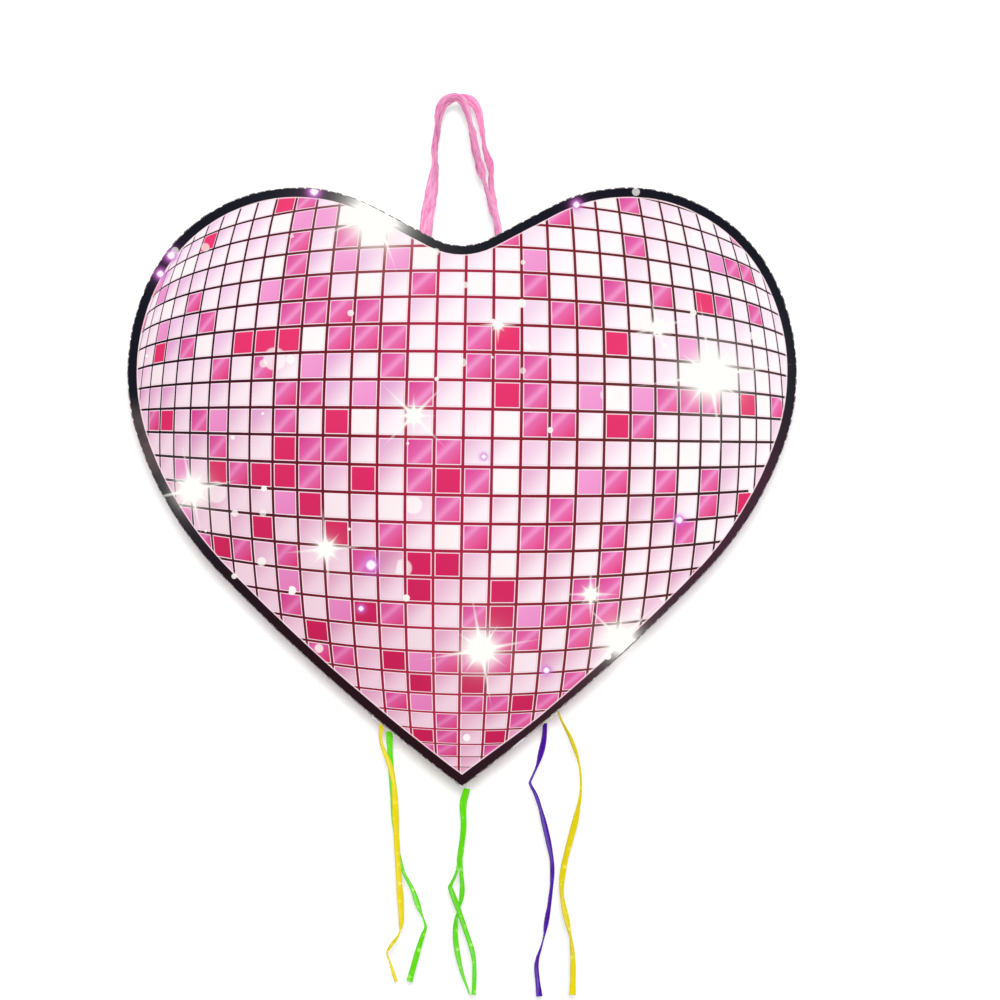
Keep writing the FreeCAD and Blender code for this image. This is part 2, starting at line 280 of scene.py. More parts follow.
# one printed glint: a soft core, four long spikes and four short ones
def glintGroup():
    tree, given, out = newGroup(
        "printedGlint",
        [("X", "Float", 0.0), ("Z", "Float", 0.0), ("Centre X", "Float", 0.0), ("Centre Z", "Float", 0.0),
         ("Core", "Float", 0.01), ("Reach", "Float", 0.02), ("Turn", "Float", 0.0),
         ("Width", "Float", 0.0008)],
        [("Light", "Float")])
    dx = minus(given["X"], given["Centre X"])
    dz = minus(given["Z"], given["Centre Z"])
    cosine = calc("COSINE", given["Turn"])
    sine = calc("SINE", given["Turn"])
    rx = plus(times(dx, cosine), times(dz, sine))
    rz = minus(times(dz, cosine), times(dx, sine))
    square = plus(times(dx, dx), times(dz, dz))
    core = calc("EXPONENT", times(over(square, times(given["Core"], given["Core"])), -1.0))
    haze = calc("EXPONENT", over(calc("SQRT", square), times(given["Core"], -1.1)))
    total = plus(times(core, 1.5), times(haze, 0.3))

    def spike(along, across, reach):
        left = minus(1.0, over(calc("ABSOLUTE", along), reach), clamp=True)
        width = times(plus(left, 0.12), given["Width"])
        slim = over(across, width)
        return times(left, calc("EXPONENT", times(times(slim, slim), -1.0)))

    half = math.sqrt(0.5)
    diagonalX = times(plus(rx, rz), half)
    diagonalZ = times(minus(rz, rx), half)
    short = times(given["Reach"], 0.5)
    for along, across, reach in ((rx, rz, given["Reach"]), (rz, rx, given["Reach"]),
                                 (diagonalX, diagonalZ, short), (diagonalZ, diagonalX, short)):
        total = plus(total, spike(along, across, reach))
    tree.links.new(total, out["Light"])
    return tree


paperFibre = paperFibreGroup()
crepeCrinkle = crinkleGroup()
printedGlint = glintGroup()


# corrugated board
board = {"liner": 0.00035, "medium": 0.00028, "flute": 0.0064, "column": 0.0008, "inset": 0.0003}

# printed mosaic
mosaic = {
    "centre": (0.003, -0.2005),
    "radii": (0.2055, 0.2095),     # the printed ball's half width and half height
    "pitch": 0.01736,
    "shift": (0.13, 0.1),          # of the grid from the ball's centre, in tiles
    "line": 0.058,                 # half of the dark joint, as a share of the pitch
    "border": 0.088,
    "rim": 0.0051,
    "seed": 7.3,
    "tilt": -0.94,                 # degrees that the print is turned on the card
    "wideDiscs": (26.0, 0.0, 0.26, 0.15),      # cells a metre, offset, share of cells, radius in cells
    "smallDiscs": (58.0, 0.31, 0.11, 0.13),
    "glints": [                    # x, z, core, reach, turn in degrees
        (-0.0515, -0.0690, 0.0150, 0.040, 20), (0.1490, -0.1650, 0.0125, 0.050, 8),
        (-0.0290, -0.1890, 0.0040, 0.028, 45), (-0.1620, -0.2335, 0.0075, 0.030, 12),
        (-0.0815, -0.2690, 0.0045, 0.026, 5), (0.0115, -0.3290, 0.0085, 0.038, 10),
        (0.0950, -0.3235, 0.0085, 0.034, 45), (0.0770, -0.2960, 0.0032, 0.018, 0),
        (0.1175, -0.1360, 0.0036, 0.020, 15), (0.0215, -0.1345, 0.0020, 0.012, 0),
    ],
    "glows": [                     # x, z, radius of the coloured glow
        (-0.1743, -0.0930, 0.0034), (-0.1808, -0.1040, 0.0030), (-0.0886, -0.0545, 0.0036),
        (-0.0545, -0.2785, 0.0044), (-0.0605, -0.3045, 0.0022), (0.0685, -0.0625, 0.0028),
        (0.1300, -0.2515, 0.0030), (0.0505, -0.3415, 0.0026), (0.0130, -0.2135, 0.0022),
    ],
}


def whiteNoise(tree, a, b, seed):
    place = tree.nodes.new("ShaderNodeCombineXYZ")
    feed(place.inputs[0], a)
    feed(place.inputs[1], b)
    place.inputs[2].default_value = seed
    node = tree.nodes.new("ShaderNodeTexWhiteNoise")
    tree.links.new(place.outputs[0], node.inputs["Vector"])
    return node.outputs["Value"]


# place on the printed ball: px and pz in radii, rho from its centre, u and v in tiles
def ballPlace(x, z):
    centreX, centreZ = mosaic["centre"]
    radiusX, radiusZ = mosaic["radii"]
    cosine, sine = math.cos(math.radians(mosaic["tilt"])), math.sin(math.radians(mosaic["tilt"]))
    fromX, fromZ = minus(x, centreX), minus(z, centreZ)
    turnedX = plus(times(fromX, cosine), times(fromZ, sine))
    turnedZ = minus(times(fromZ, cosine), times(fromX, sine))
    px, pz = over(turnedX, radiusX), over(turnedZ, radiusZ)
    rho = calc("SQRT", plus(times(px, px), times(pz, pz)))
    rho = calc("MINIMUM", calc("MAXIMUM", rho, 0.0001), 0.9999)
    bulge = over(calc("ARCSINE", rho), rho)
    u = calc("MULTIPLY_ADD", times(px, bulge), radiusX / mosaic["pitch"], mosaic["shift"][0])
    v = calc("MULTIPLY_ADD", times(pz, bulge), radiusZ / mosaic["pitch"], mosaic["shift"][1])
    return px, pz, rho, u, v


# each tile's colour, by its own chance, and the painted light and shade over all of them
def tileColour(tree, z, px, pz, cellU, cellV, insideU, insideV):
    seed = mosaic["seed"]
    chance = whiteNoise(tree, cellU, cellV, seed)
    tone = whiteNoise(tree, cellU, cellV, seed + 11)
    streak = whiteNoise(tree, cellU, cellV, seed + 23)

    # diagonal from the tile's upper left, 0, to its lower right, 1
    diagonal = times(plus(insideU, minus(1.0, insideV)), 0.5)
    tint = between(z, -0.3, -0.12)
    strong = mixed(tint, srgb(220, 142, 184), srgb(228, 164, 214))
    weak = mixed(tint, srgb(240, 198, 220), srgb(246, 212, 238))
    lightStart = mixed(tone, strong, weak)
    fade = between(plus(diagonal, times(minus(streak, 0.5), 0.5)), -0.05, 0.85)
    light = mixed(fade, lightStart, srgb(253, 242, 246))
    white = mixed(diagonal, srgb(252, 240, 244), srgb(254, 251, 248))
    flat = mixed(diagonal, srgb(242, 158, 212), srgb(238, 144, 204))
    glossStops = [(0.0, srgb(218, 66, 148)), (0.32, srgb(226, 98, 168)), (0.46, srgb(240, 146, 200)),
                  (0.56, srgb(230, 106, 170)), (0.78, srgb(230, 84, 146)), (1.0, srgb(220, 56, 118))]
    shifted = plus(diagonal, times(minus(streak, 0.5), 0.3), clamp=True)
    glossy = ramp(shifted, glossStops)
    height = between(z, -0.36, -0.08)
    deep = mixed(height, srgb(208, 28, 92), srgb(234, 52, 112))

    # more coloured tiles towards the middle and the lower middle
    columnPlace = over(plus(cellU, 2.5), 14.0)
    rowPlace = over(plus(cellV, 5.5), 19.0)
    fromMiddle = calc("SQRT", plus(times(columnPlace, columnPlace), times(rowPlace, rowPlace)))
    crowd = between(fromMiddle, 1.0, 0.15)
    deepShare = plus(0.045, times(crowd, 0.075))
    glossShare = plus(deepShare, plus(0.09, times(crowd, 0.25)))
    flatShare = plus(glossShare, 0.045)
    whiteShare = plus(flatShare, plus(0.08, times(between(rowPlace, 0.3, 0.9), 0.17)))
    colour = light
    for share, tile in ((whiteShare, white), (flatShare, flat), (glossShare, glossy), (deepShare, deep)):
        colour = mixed(calc("LESS_THAN", chance, share), colour, tile)

    # painted light and shade over the whole print: whiter at the upper right where the light falls, greyer at
    # the lower left in painted shade
    slope = plus(times(px, 0.55), times(pz, 0.75))
    paintedLitTiles = mixed(between(slope, -0.05, 0.6, 0.0, 0.45), light, srgb(255, 253, 254))
    colour = mixed(calc("GREATER_THAN", chance, whiteShare), colour, paintedLitTiles)
    paintedShade = between(slope, 0.0, -0.8)
    colour = mixed(paintedShade, colour, srgb(234, 206, 220), "MULTIPLY")
    return colour


# soft round lights at random places
def softDiscs(tree, x, z, scale, offset, share, radius):
    node = tree.nodes.new("ShaderNodeTexVoronoi")
    node.voronoi_dimensions = "2D"
    place = tree.nodes.new("ShaderNodeCombineXYZ")
    feed(place.inputs[0], plus(x, offset))
    feed(place.inputs[1], z)
    tree.links.new(place.outputs[0], node.inputs["Vector"])
    node.inputs["Scale"].default_value = scale
    parts = tree.nodes.new("ShaderNodeSeparateColor")
    tree.links.new(node.outputs["Color"], parts.inputs[0])
    chosen = calc("LESS_THAN", parts.outputs[0], share)
    size = times(plus(parts.outputs[1], 0.35), radius)
    disc = between(node.outputs["Distance"], times(size, 0.78), size, 1.0, 0.0)
    strength = calc("MULTIPLY_ADD", parts.outputs[2], 0.5, 0.45)
    return times(disc, times(chosen, strength))


# pale border of each tile, then the dark joint
def jointsOver(colour, coords, px, rho, joint, insideU, insideV):
    lowerRight = calc("MINIMUM", minus(1.0, insideU), insideV)
    inner = between(lowerRight, mosaic["border"] + 0.045, mosaic["border"], 0.0, 0.3)
    colour = mixed(inner, colour, srgb(190, 120, 150), "MULTIPLY")
    border = calc("LESS_THAN", joint, mosaic["border"])
    colour = mixed(times(border, 0.85), colour, srgb(253, 228, 238))
    acrossBall = calc("MULTIPLY_ADD", px, 0.5, 0.5, clamp=True)
    jointColour = ramp(acrossBall, [
        (0.09, srgb(40, 12, 28)), (0.215, srgb(80, 12, 30)), (0.34, srgb(124, 18, 40)),
        (0.44, srgb(170, 32, 66)),
        (0.52, srgb(160, 32, 62)), (0.6, srgb(130, 26, 42)), (0.715, srgb(98, 32, 36)),
        (0.86, srgb(56, 28, 32))])
    jointColour = mixed(between(rho, 0.8, 1.0, 0.0, 0.5), jointColour, srgb(32, 14, 32))
    wide = minus(mosaic["line"], times(noise(coords, 60.0, 2.0), 0.012))
    colour = mixed(calc("LESS_THAN", joint, wide), colour, jointColour)
    return colour


# coloured glows, and the white discs and glints
def printedLights(tree, x, z):
    glow = 0.0
    for glowX, glowZ, radius in mosaic["glows"]:
        glowing = placeGroup(tree, printedGlint, X=x, Z=z, Core=radius, Reach=radius, Turn=0.0, Width=0.0003,
                             **{"Centre X": glowX, "Centre Z": glowZ})["Light"]
        glow = calc("MAXIMUM", glow, glowing)
    lights = softDiscs(tree, x, z, *mosaic["smallDiscs"])
    for glintX, glintZ, core, reach, turn in mosaic["glints"]:
        glint = placeGroup(tree, printedGlint, X=x, Z=z, Core=core, Reach=reach, Turn=math.radians(turn),
                           Width=0.0011,
                           **{"Centre X": glintX, "Centre Z": glintZ})["Light"]
        lights = calc("MAXIMUM", lights, glint)
    return glow, lights


# printed rim along the edge
def rimOver(tree, colour, coords, x, z, rimColours):
    rimPlace = tree.nodes.new("ShaderNodeAttribute")
    rimPlace.attribute_name = "rimPlace"
    inset = rimPlace.outputs["Fac"]
    rimWidth = plus(mosaic["rim"], times(minus(noise(coords, 14.0), 0.5), 0.0012))
    slimmer = times(between(x, 0.0, 0.05), between(z, -0.2, -0.3))
    rimWidth = calc("MULTIPLY_ADD", slimmer, -0.0014, rimWidth)
    onRim = between(minus(inset, rimWidth), -0.00012, 0.00012, 1.0, 0.0)
    low = between(z, -0.2, -0.34)
    side = times(between(x, -0.02, 0.12), between(z, -0.17, -0.24))
    # the rim is greyer in a patch on its left flank
    greyRimPatch = times(between(x, -0.14, -0.18), between(calc("ABSOLUTE", plus(z, 0.205)), 0.03, 0.01))
    rim = mixed(low, rimColours[0], rimColours[1])
    rim = mixed(times(side, 0.8), rim, rimColours[2])
    rim = mixed(times(greyRimPatch, times(noise(coords, 90.0, 3.0), 0.8)), rim, srgb(128, 108, 108))
    hairline = between(calc("ABSOLUTE", minus(inset, plus(rimWidth, 0.0004))), 0.0002, 0.0005, 0.75, 0.0)
    colour = mixed(hairline, colour, srgb(250, 225, 232))
    colour = mixed(onRim, colour, rim)
    return colour


def mosaicMaterial(name, rimColours):
    material, tree, shader = newMaterial(name, roughness=0.5, specular=0.06)
    coords = objectCoords(tree)
    split = tree.nodes.new("ShaderNodeSeparateXYZ")
    tree.links.new(coords, split.inputs[0])
    x, z = split.outputs["X"], split.outputs["Z"]
    px, pz, rho, u, v = ballPlace(x, z)
    cellU, cellV = calc("FLOOR", u), calc("FLOOR", v)
    insideU, insideV = minus(u, cellU), minus(v, cellV)

    def edge(inside):
        return calc("MINIMUM", inside, minus(1.0, inside))

    joint = calc("MINIMUM", edge(insideU), edge(insideV))
    colour = tileColour(tree, z, px, pz, cellU, cellV, insideU, insideV)
    colour = mixed(softDiscs(tree, x, z, *mosaic["wideDiscs"]), colour, srgb(255, 252, 250))
    colour = jointsOver(colour, coords, px, rho, joint, insideU, insideV)
    glow, lights = printedLights(tree, x, z)
    colour = rimOver(tree, colour, coords, x, z, rimColours)
    colour = mixed(times(calc("MINIMUM", glow, 1.0), 0.85), colour, srgb(206, 112, 206))
    colour = mixed(between(glow, 0.9, 1.5), colour, srgb(255, 240, 255))
    colour = mixed(calc("MINIMUM", lights, 1.0), colour, srgb(255, 252, 246))

    fibre = placeGroup(tree, paperFibre, Vector=coords, Fineness=1400.0)
    shine = plus(0.5, times(fibre["Mask"], 0.16))
    flutes = calc("SINE", times(x, 2 * math.pi / board["flute"]))
    relief = plus(fibre["Height"], times(flutes, 0.35))
    feed(shader.inputs["Base Color"], colour)
    feed(shader.inputs["Roughness"], shine)
    feed(shader.inputs["Normal"], bump(relief, 0.25, 0.00012))
    return material


def cardMaterial(name, pale, dark):
    material, tree, shader = newMaterial(name, roughness=0.8, specular=0.2)
    coords = objectCoords(tree)
    fibre = placeGroup(tree, paperFibre, Vector=coords, Fineness=700.0, Flecks=0.5)
    blotch = noise(coords, 22.0, 3.0)
    colour = mixed(fibre["Mask"], dark, pale)
    colour = mixed(times(blotch, 0.35), colour, dark)
    feed(shader.inputs["Base Color"], colour)
    feed(shader.inputs["Roughness"], plus(0.68, times(fibre["Mask"], 0.25)))
    feed(shader.inputs["Normal"], bump(fibre["Height"], 0.5, 0.0002))
    return material


def crepeMaterial(name, pale, shadow):
    material, tree, shader = newMaterial(name, roughness=0.9, specular=0.12, sheen=0.15)
    uv = tree.nodes.new("ShaderNodeUVMap")
    uv.uv_map = "paperMap"
    split = tree.nodes.new("ShaderNodeSeparateXYZ")
    tree.links.new(uv.outputs[0], split.inputs[0])
    crinkle = placeGroup(tree, crepeCrinkle, Across=split.outputs[0], Along=split.outputs[1])
    colour = mixed(crinkle["Mask"], shadow, pale)
    feed(shader.inputs["Base Color"], colour)
    feed(shader.inputs["Roughness"], plus(0.8, times(crinkle["Mask"], 0.15)))
    feed(shader.inputs["Normal"], bump(crinkle["Height"], 0.8, 0.0004))
    return material


# curling ribbon: fine lengthwise lines, and a painted highlight on the creases
def pullRibbonMaterial(name, body, paintedHighlight, darkLinesAndFoldShade):
    material, tree, shader = newMaterial(name, roughness=0.4, specular=0.12)
    uv = tree.nodes.new("ShaderNodeUVMap")
    uv.uv_map = "paperMap"
    lines = noise(stretched(uv.outputs[0], (9000.0, 90.0, 1.0)), 1.0, 2.0)
    creases = noise(stretched(uv.outputs[0], (120.0, 160.0, 1.0)), 1.0, 4.0, 0.6)
    colour = mixed(between(lines, 0.3, 0.7), darkLinesAndFoldShade, body)
    # painted highlight: paler patches on the creases, where they catch the light
    colour = mixed(between(creases, 0.56, 0.74, 0.0, 0.75), colour, paintedHighlight)
    feed(shader.inputs["Base Color"], colour)
    feed(shader.inputs["Roughness"], between(creases, 0.3, 0.8, 0.22, 0.42))
    feed(shader.inputs["Normal"], bump(plus(lines, times(creases, 1.5)), 0.35, 0.0001))
    return material


def hangerRibbonMaterial(name, body, paintedHighlight, darkLinesAndFoldShade):
    material, tree, shader = newMaterial(name, roughness=0.6, specular=0.15, sheen=0.1)
    uv = tree.nodes.new("ShaderNodeUVMap")
    uv.uv_map = "paperMap"
    folds = noise(stretched(uv.outputs[0], (700.0, 130.0, 1.0)), 1.0, 4.0, 0.6, 0.8)
    grain = noise(stretched(uv.outputs[0], (5200.0, 700.0, 1.0)), 1.0, 2.0)
    # painted shade in the hollows of the folds, and a painted highlight on their ridges
    colour = mixed(between(folds, 0.3, 0.55), darkLinesAndFoldShade, body)
    colour = mixed(between(folds, 0.54, 0.74, 0.0, 0.8), colour, paintedHighlight)
    feed(shader.inputs["Base Color"], colour)
    feed(shader.inputs["Roughness"], plus(0.5, times(grain, 0.3)))
    feed(shader.inputs["Normal"], bump(plus(folds, times(grain, 0.15)), 0.7, 0.0005))
    return material


rimColours = (srgb(8, 10, 25), srgb(32, 2, 14), srgb(70, 38, 54))
frontMosaic = mosaicMaterial("printedMosaic", rimColours)
kraftCard = cardMaterial("kraftCard", srgb(196, 166, 126), srgb(158, 124, 86))
whitePatch = cardMaterial("patchPaper", srgb(246, 243, 236), srgb(222, 216, 206))
whiteCrepe = crepeMaterial("whiteCrepe", srgb(248, 246, 247), srgb(218, 214, 218))
# each ribbon's second colour is its painted highlight; the third is its darker tone, which on the pink one is
# painted shade in its folds
pinkRibbon = hangerRibbonMaterial("pinkRibbon", srgb(248, 168, 210), srgb(254, 206, 230), srgb(236, 116, 176))
yellowRibbon = pullRibbonMaterial("yellowRibbon", srgb(233, 215, 0), srgb(252, 246, 110), srgb(216, 194, 0))
greenRibbon = pullRibbonMaterial("greenRibbon", srgb(104, 222, 0), srgb(206, 252, 140), srgb(84, 200, 0))
purpleRibbon = pullRibbonMaterial("purpleRibbon", srgb(80, 0, 168), srgb(96, 20, 204), srgb(62, 0, 138))
say("materials")


# meshes
def tidyMesh(mesh):
    work = bmesh.new()
    work.from_mesh(mesh)
    bmesh.ops.remove_doubles(work, verts=work.verts, dist=1e-7)
    bmesh.ops.delete(work, geom=[v for v in work.verts if not v.link_faces], context="VERTS")
    bmesh.ops.recalc_face_normals(work, faces=work.faces)
    work.to_mesh(mesh)
    work.free()


def newPiece(name, vertices, faces, material, smooth=False):
    mesh = bpy.data.meshes.new(name)
    mesh.from_pydata([tuple(v) for v in vertices], [], faces)
    mesh.materials.append(material)
    mesh.polygons.foreach_set("use_smooth", [smooth] * len(mesh.polygons))
    mesh.update()
    piece = bpy.data.objects.new(name, mesh)
    scene.collection.objects.link(piece)
    return piece


# closed thin sheet from two grids of points, top and bottom; keep marks the quads that stay
def sheetPiece(name, top, bottom, material, places, keep=None):
    rows, columns = top.shape[:2]
    if keep is None:
        keep = np.ones((rows - 1, columns - 1), bool)
    index = np.arange(rows * columns).reshape(rows, columns)
    under = rows * columns
    faces = []
    for i, j in zip(*np.nonzero(keep)):
        corners = [int(c) for c in (index[i, j], index[i + 1, j], index[i + 1, j + 1], index[i, j + 1])]
        faces.append(tuple(corners))
        faces.append(tuple(c + under for c in corners[::-1]))
        for k, (di, dj) in enumerate(((0, -1), (1, 0), (0, 1), (-1, 0))):
            ni, nj = i + di, j + dj
            if not (0 <= ni < rows - 1 and 0 <= nj < columns - 1 and keep[ni, nj]):
                a, b = corners[k], corners[(k + 1) % 4]
                faces.append((b, a, a + under, b + under))
    piece = newPiece(name, np.concatenate([top.reshape(-1, 3), bottom.reshape(-1, 3)]), faces, material,
                     smooth=True)
    flatPlaces = places.reshape(-1, 2)
    layer = piece.data.uv_layers.new(name="paperMap")
    for loop in piece.data.loops:
        layer.data[loop.index].uv = flatPlaces[loop.vertex_index % under]
    tidyMesh(piece.data)
    return piece


def joined(name, pieces, material):
    work = bmesh.new()
    for piece in pieces:
        work.from_mesh(piece.data)
        bpy.data.objects.remove(piece)
    mesh = bpy.data.meshes.new(name)
    work.to_mesh(mesh)
    work.free()
    mesh.materials.append(material)
    whole = bpy.data.objects.new(name, mesh)
    scene.collection.objects.link(whole)
    return whole


def settle(piece, body, slotName, *replaced):
    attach(piece, body)
    if replaced:
        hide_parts(*replaced)


# outline of the heart
heart = {
    "notchZ": -0.0874, "notchRadius": 0.0367, "notchSweep": 27.9, "notchRise": 0.0408,
    "bends": [(0.098, 92.1), (0.127, 45.3), (0.214, 24.6)], "sideRadius": 1.215,
    "doorHingeX": 0.0335, "doorTipX": 0.0006,
}


# the right half as runs; side is 1 where an arc's centre is outside the heart
def outlineRuns():
    runs, x, z, heading = [], 0.0, heart["notchZ"], 0.0
    turns = [(heart["notchRadius"], heart["notchSweep"], 1)] + [(r, a, -1) for r, a in heart["bends"]]
    for radius, sweep, side in turns:
        centreX, centreZ = x - side * radius * math.sin(heading), z + side * radius * math.cos(heading)
        start = heading - side * math.pi / 2
        end = start + side * math.radians(sweep)
        runs.append({"kind": "arc", "centre": (centreX, centreZ), "radius": radius, "angles": (start, end),
                     "side": side})
        heading += side * math.radians(sweep)
        x, z = centreX + radius * math.cos(end), centreZ + radius * math.sin(end)
        if side == 1:
            runs.append({"kind": "line", "start": (x, z), "heading": heading, "length": heart["notchRise"]})
            x += heart["notchRise"] * math.cos(heading)
            z += heart["notchRise"] * math.sin(heading)
    radius = heart["sideRadius"]
    centre = (x + radius * math.sin(heading), z - radius * math.cos(heading))
    start = math.remainder(heading + math.pi / 2, 2 * math.pi)
    runs.append({"kind": "side", "centre": centre, "radius": radius, "start": start, "side": -1})
    return runs


runs = outlineRuns()


def sideAngle(x, inset=0.0):
    return -math.acos((x - runs[-1]["centre"][0]) / (heart["sideRadius"] - inset))


# rows of (x, z, outward x, outward z) on an arc
def arcPoints(run, start, end, count, inset=0.0, withLast=False):
    angles = np.linspace(start, end, count + 1)[:None if withLast else -1]
    radius = run["radius"] + run["side"] * inset
    cosines, sines = np.cos(angles), np.sin(angles)
    return np.stack([run["centre"][0] + radius * cosines, run["centre"][1] + radius * sines,
                     -run["side"] * cosines, -run["side"] * sines], axis=1)


def sidePoints(firstX, lastX, step, inset=0.0):
    start, end = sideAngle(firstX), sideAngle(lastX)
    count = max(2, round(heart["sideRadius"] * abs(end - start) / step))
    return arcPoints(runs[-1], sideAngle(firstX, inset), sideAngle(lastX, inset), count, inset, withLast=True)


# down the right half from the notch, stopping on the side at lastX
def halfOutline(inset=0.0, step=0.004, lastX=0.0):
    parts = []
    for run in runs:
        if run["kind"] == "line":
            ux, uz = math.cos(run["heading"]), math.sin(run["heading"])
            far = np.linspace(0, run["length"], max(2, round(run["length"] / step)) + 1)[:-1, None]
            start = np.array([run["start"][0] + uz * inset, run["start"][1] - ux * inset, -uz, ux])
            parts.append(start + far * np.array([ux, uz, 0, 0]))
            continue
        if run["kind"] == "side":
            start, end = run["start"], sideAngle(lastX, inset)
            reach = sideAngle(lastX) - start
        else:
            start, end = run["angles"]
            reach = end - start
        count = max(2, round(run["radius"] * abs(reach) / step))
        parts.append(arcPoints(run, start, end, count, inset, withLast=run["kind"] == "side"))
    return np.concatenate(parts)


def mirrored(points):
    return points[::-1] * np.array([-1, 1, -1, 1])


def fullOutline(inset=0.0, step=0.004):
    right = halfOutline(inset, step)
    return np.concatenate([right, mirrored(right)[1:-1]])


def heightsAt(x, inset):
    right = halfOutline(inset, 0.002)
    widest = int(np.argmax(right[:, 0]))
    high = np.interp(abs(x), right[:widest + 1, 0], right[:widest + 1, 1])
    low = np.interp(abs(x), right[widest:, 0][::-1], right[widest:, 1][::-1])
    return low, high


frontBox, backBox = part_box("front_print"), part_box("back_print")
frontBoardBox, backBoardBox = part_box("front_panel"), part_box("back_panel")
hatchBox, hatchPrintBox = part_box("fill_hatch"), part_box("hatch_print")
hatchGap = 0.0006
hatchHole = (hatchBox[0].x - hatchGap, hatchBox[1].x + hatchGap, hatchBox[0].z - hatchGap,
             hatchBox[1].z + hatchGap)


offRim = 0.05                 # further in than the printed rim reaches


# how far in from the heart's edge each vertex is; the print reads it
def markRim(piece, insets):
    attribute = piece.data.attributes.new("rimPlace", "FLOAT", "POINT")
    attribute.data.foreach_set("value", insets)


# flat sheet cut to the heart, with a loop "ring" inside its edge for the printed rim
def cutSheet(name, y0, y1, material, hole=None, ring=None):
    outer = fullOutline()[:, :2]
    inner = fullOutline(ring)[:, :2] if ring else outer[:0]
    loops = [inner if ring else outer]
    if hole:
        x0, x1, z0, z1 = hole
        loops.append(np.array([(x0, z0), (x1, z0), (x1, z1), (x0, z1)]))
    filling = tessellate_polygon([[Vector((x, z, 0)) for x, z in loop] for loop in loops])
    count = len(outer)
    shift = count if ring else 0
    flat = np.concatenate([outer] + loops) if ring else np.concatenate(loops)
    face = [tuple(i + shift for i in triangle) for triangle in filling]
    walls = [(i, (i + 1) % count) for i in range(count)]
    if ring:
        face += [(i, j, count + j, count + i) for i, j in walls]
    if hole:
        start = len(flat) - 4
        walls = walls + [(start + i, start + (i + 1) % 4) for i in range(4)]
    total = len(flat)
    vertices = [(x, y, z) for y in (y0, y1) for x, z in flat]
    faces = face + [tuple(i + total for i in corner[::-1]) for corner in face]
    faces += [(i, j, j + total, i + total) for i, j in walls]
    piece = newPiece(name, vertices, faces, material)
    insets = [0.0] * count + [ring or 0.0] * (total - count)
    markRim(piece, insets * 2)
    tidyMesh(piece.data)
    return piece


def flatSheet(name, x0, x1, y0, y1, z0, z1, material):
    corners = [(x, y, z) for y in (y0, y1) for x, z in ((x0, z0), (x1, z0), (x1, z1), (x0, z1))]
    faces = [(0, 1, 2, 3), (7, 6, 5, 4), (0, 4, 5, 1), (1, 5, 6, 2), (2, 6, 7, 3), (3, 7, 4, 0)]
    piece = newPiece(name, corners, faces, material)
    markRim(piece, [offRim] * len(corners))
    tidyMesh(piece.data)
    return piece


printRing = 0.009
settle(cutSheet("frontPrint", frontBox[0].y, frontBox[1].y, frontMosaic, ring=printRing), "shell",
       "printed_face", "front_print")
settle(cutSheet("backPrint", backBox[0].y, backBox[1].y, frontMosaic, hatchHole, printRing), "shell",
       "printed_back", "back_print")
settle(flatSheet("hatchPrint", hatchPrintBox[0].x, hatchPrintBox[1].x, hatchPrintBox[0].y, hatchPrintBox[1].y,
                 hatchPrintBox[0].z, hatchPrintBox[1].z, frontMosaic), "fill_hatch", "printed_back",
                 "hatch_print")
say("printed sheets")


# one strip of the wavy middle sheet of corrugated board; spans(x) gives its lowest and highest point
def flutedStrip(name, x0, x1, yMiddle, swing, spans):
    count = max(2, round((x1 - x0) / board["column"]))
    xs = np.linspace(x0, x1, count + 1)
    ys = yMiddle + swing * np.sin(xs * 2 * math.pi / board["flute"])
    ends = np.array([spans(x) for x in xs])
    rows = []
    for offset in (-board["medium"] / 2, board["medium"] / 2):
        rows.append(np.stack([np.stack([xs, ys + offset, ends[:, k]], axis=1) for k in (0, 1)]))
    places = np.stack([np.stack([xs, ends[:, k]], axis=1) for k in (0, 1)])
    return sheetPiece(name, rows[0], rows[1], kraftCard, places)


def boardPanel(name, y0, y1, sheets, strips):
    swing = (y1 - y0) / 2 - board["liner"] - board["medium"] / 2
    parts = [sheets(name + "Outside", y0, y0 + board["liner"]),
             sheets(name + "Inside", y1 - board["liner"], y1)]
    for k, (x0, x1, spans) in enumerate(strips):
        parts.append(flutedStrip(f"{name}Flutes{k}", x0, x1, (y0 + y1) / 2, swing, spans))
    return joined(name, parts, kraftCard)


def heartSpan(x):
    return heightsAt(x, board["inset"])


halfWidth = frontBox[1].x - 0.0008
holeX0, holeX1, holeZ0, holeZ1 = hatchHole
frontBoard = boardPanel("frontBoard", frontBoardBox[0].y, frontBoardBox[1].y,
                        lambda name, y0, y1: cutSheet(name, y0, y1, kraftCard),
                        [(-halfWidth, halfWidth, heartSpan)])
settle(frontBoard, "shell", "card", "front_panel")
backBoard = boardPanel("backBoard", backBoardBox[0].y, backBoardBox[1].y,
                       lambda name, y0, y1: cutSheet(name, y0, y1, kraftCard, hatchHole),
                       [(-halfWidth, holeX0, heartSpan), (holeX1, halfWidth, heartSpan),
                        (holeX0, holeX1, lambda x: (heartSpan(x)[0], holeZ0)),
                        (holeX0, holeX1, lambda x: (holeZ1, heartSpan(x)[1]))])
settle(backBoard, "shell", "card", "back_panel")
hatchBoard = boardPanel("hatchBoard", hatchBox[0].y, hatchBox[1].y,
                        lambda name, y0, y1: flatSheet(name, hatchBox[0].x, hatchBox[1].x, y0, y1,
                                                       hatchBox[0].z, hatchBox[1].z, kraftCard),
                        [(hatchBox[0].x, hatchBox[1].x, lambda x: (hatchBox[0].z, hatchBox[1].z))])
settle(hatchBoard, "fill_hatch", "card", "fill_hatch")
say("corrugated panels")

plainSlots = {"card": kraftCard}
for row in frame["record"]["subparts"]:
    if row["material_slot"] in plainSlots:
        for slot in frame["nodes"][row["node"]].material_slots:
            slot.material = plainSlots[row["material_slot"]]


